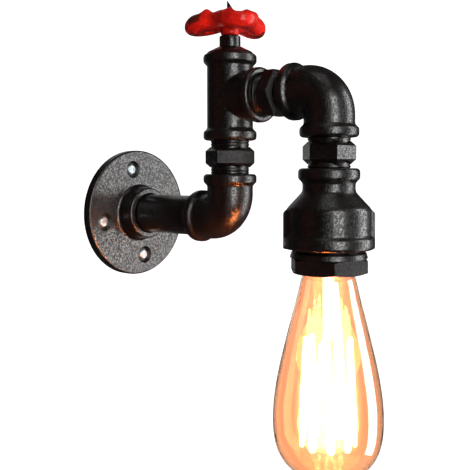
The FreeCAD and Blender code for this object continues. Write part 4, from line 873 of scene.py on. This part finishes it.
def dim_room(brightness):
    """Even white surroundings of a low brightness."""
    world = bpy.data.worlds.new("studio")
    world.use_nodes = True
    set_inputs(world.node_tree, world.node_tree.nodes["Background"], {
        "Color": rgb(*WHITE), "Strength": brightness})
    bpy.context.scene.world = world


def photo_camera():
    """Camera at the photograph's place, with its lens and its downward shift; the heading turns
    it about the vertical and the tilt points it down, both in degrees."""
    data = bpy.data.cameras.new("camera")
    data.sensor_width = CAMERA_SENSOR
    data.lens = CAMERA_LENS
    data.shift_y = CAMERA_SHIFT_Y
    data.clip_start, data.clip_end = CAMERA_CLIP
    camera = new_object("camera", data)
    aim = Euler((math.radians(90.0 - CAMERA_TILT), 0.0, math.radians(CAMERA_HEADING)))
    camera.matrix_world = Matrix.LocRotScale(Vector(CAMERA_PLACE), aim, None)
    bpy.context.scene.camera = camera


# ================================================================ settings
def light_power(name, description, watts):
    """Setting for the power of one light."""
    return bpy.props.FloatProperty(
        name=name, description=description, default=watts, min=0.0, unit="POWER")


class LampSettings(bpy.types.PropertyGroup):
    """Sizes and glow of the lamp that a user may change."""
    glow: bpy.props.FloatProperty(
        name="Glow", description="Emission strength of the filament", default=60.0, min=0.0)
    bulb_light: light_power("Bulb light", "Power of the warm light inside the bulb", 3.0)
    glass_segments: bpy.props.IntProperty(
        name="Glass segments", description="Number of faces round the bulb", default=128, min=24)


class StageSettings(bpy.types.PropertyGroup):
    """Lights of the studio."""
    key_light: light_power("Key light", "Power of the tall soft light at the front left", 17.0)
    side_light: light_power("Side light", "Power of the tall soft light at the front right", 17.0)
    top_light: light_power("Top light", "Power of the soft light overhead", 1.0)
    left_glow: light_power("Left glow", "Power of the reddish light at the left", 0.45)
    back_light: light_power("Back light", "Power of the soft light behind the wall's plane", 0.9)
    surroundings: bpy.props.FloatProperty(
        name="Surroundings", description="Brightness of the dim room", default=0.035, min=0.0)


# ================================================================ operators
class PIPELIGHT_OT_materials(bpy.types.Operator):
    """Build the finishes and give every solid of the frame its own"""
    bl_idname = "pipelight.materials"
    bl_label = "Finishes"

    def execute(self, context):
        build_materials(context.scene.pipelight_lamp.glow)
        for part in frame["record"]["subparts"]:
            dress(NODES[part["node"]], part["material_slot"])
        return {"FINISHED"}


class PIPELIGHT_OT_handwheel(bpy.types.Operator):
    """Make the red cast handwheel"""
    bl_idname = "pipelight.handwheel"
    bl_label = "Handwheel"

    def execute(self, context):
        finish_piece(cast_handwheel(), "wheel", "red_enamel", "handwheel")
        return {"FINISHED"}


class PIPELIGHT_OT_bell(bpy.types.Operator):
    """Round the edges of the bell's casting"""
    bl_idname = "pipelight.bell"
    bl_label = "Bell"

    def execute(self, context):
        bell = softened_casting("bell_reducer", BELL_VOXEL, BELL_SMOOTHINGS)
        finish_piece(bell, "root", "black_casting", "bell_reducer")
        return {"FINISHED"}


class PIPELIGHT_OT_bulb(bpy.types.Operator):
    """Make the bulb's glass and its glowing filament"""
    bl_idname = "pipelight.bulb"
    bl_label = "Bulb"

    def execute(self, context):
        outline = glass_bulb(context.scene.pipelight_lamp.glass_segments)
        glass = finish_piece(outline, "bulb", "amber_glass", "bulb_glass")
        glass.visible_shadow = False
        finish_piece(filament_cage(), "bulb", "filament", "bulb_filament")
        NODES["bulb_stem"].visible_shadow = False
        return {"FINISHED"}


class PIPELIGHT_OT_stage(bpy.types.Operator):
    """Set up the pale stage, the lights and the camera"""
    bl_idname = "pipelight.stage"
    bl_label = "Stage"

    def execute(self, context):
        stage = context.scene.pipelight_stage
        photo_camera()
        stage_bowl()
        for name, *place in SOFT_LIGHTS:
            soft_light(name, *place, getattr(stage, name))
        bulb_light(context.scene.pipelight_lamp.bulb_light)
        dim_room(stage.surroundings)
        context.scene.view_settings.view_transform = "Standard"
        return {"FINISHED"}


class PIPELIGHT_PT_panel(bpy.types.Panel):
    """Sidebar panel that lists the wall light's settings and pieces"""
    bl_idname = "PIPELIGHT_PT_panel"
    bl_label = "Pipe Light"
    bl_space_type = "VIEW_3D"
    bl_region_type = "UI"
    bl_category = "Pipe Light"

    def draw(self, context):
        column = self.layout.column()
        for group in (context.scene.pipelight_lamp, context.scene.pipelight_stage):
            for name in type(group).__annotations__:
                column.prop(group, name)
        for operator in OPERATORS:
            column.operator(operator.bl_idname)


OPERATORS = (PIPELIGHT_OT_materials, PIPELIGHT_OT_handwheel, PIPELIGHT_OT_bell, PIPELIGHT_OT_bulb,
             PIPELIGHT_OT_stage)
CLASSES = (LampSettings, StageSettings) + OPERATORS + (PIPELIGHT_PT_panel,)


def register():
    """Registers the classes and hangs the settings on the scene."""
    for kind in CLASSES:
        bpy.utils.register_class(kind)
    bpy.types.Scene.pipelight_lamp = bpy.props.PointerProperty(type=LampSettings)
    bpy.types.Scene.pipelight_stage = bpy.props.PointerProperty(type=StageSettings)


def unregister():
    """Removes the settings and the classes."""
    del bpy.types.Scene.pipelight_stage
    del bpy.types.Scene.pipelight_lamp
    for kind in reversed(CLASSES):
        bpy.utils.unregister_class(kind)


def main():
    """Registers the add-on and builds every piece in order."""
    register()
    bpy.ops.pipelight.materials()
    bpy.ops.pipelight.handwheel()
    bpy.ops.pipelight.bell()
    bpy.ops.pipelight.bulb()
    bpy.ops.pipelight.stage()


if __name__ == "__main__":
    main()
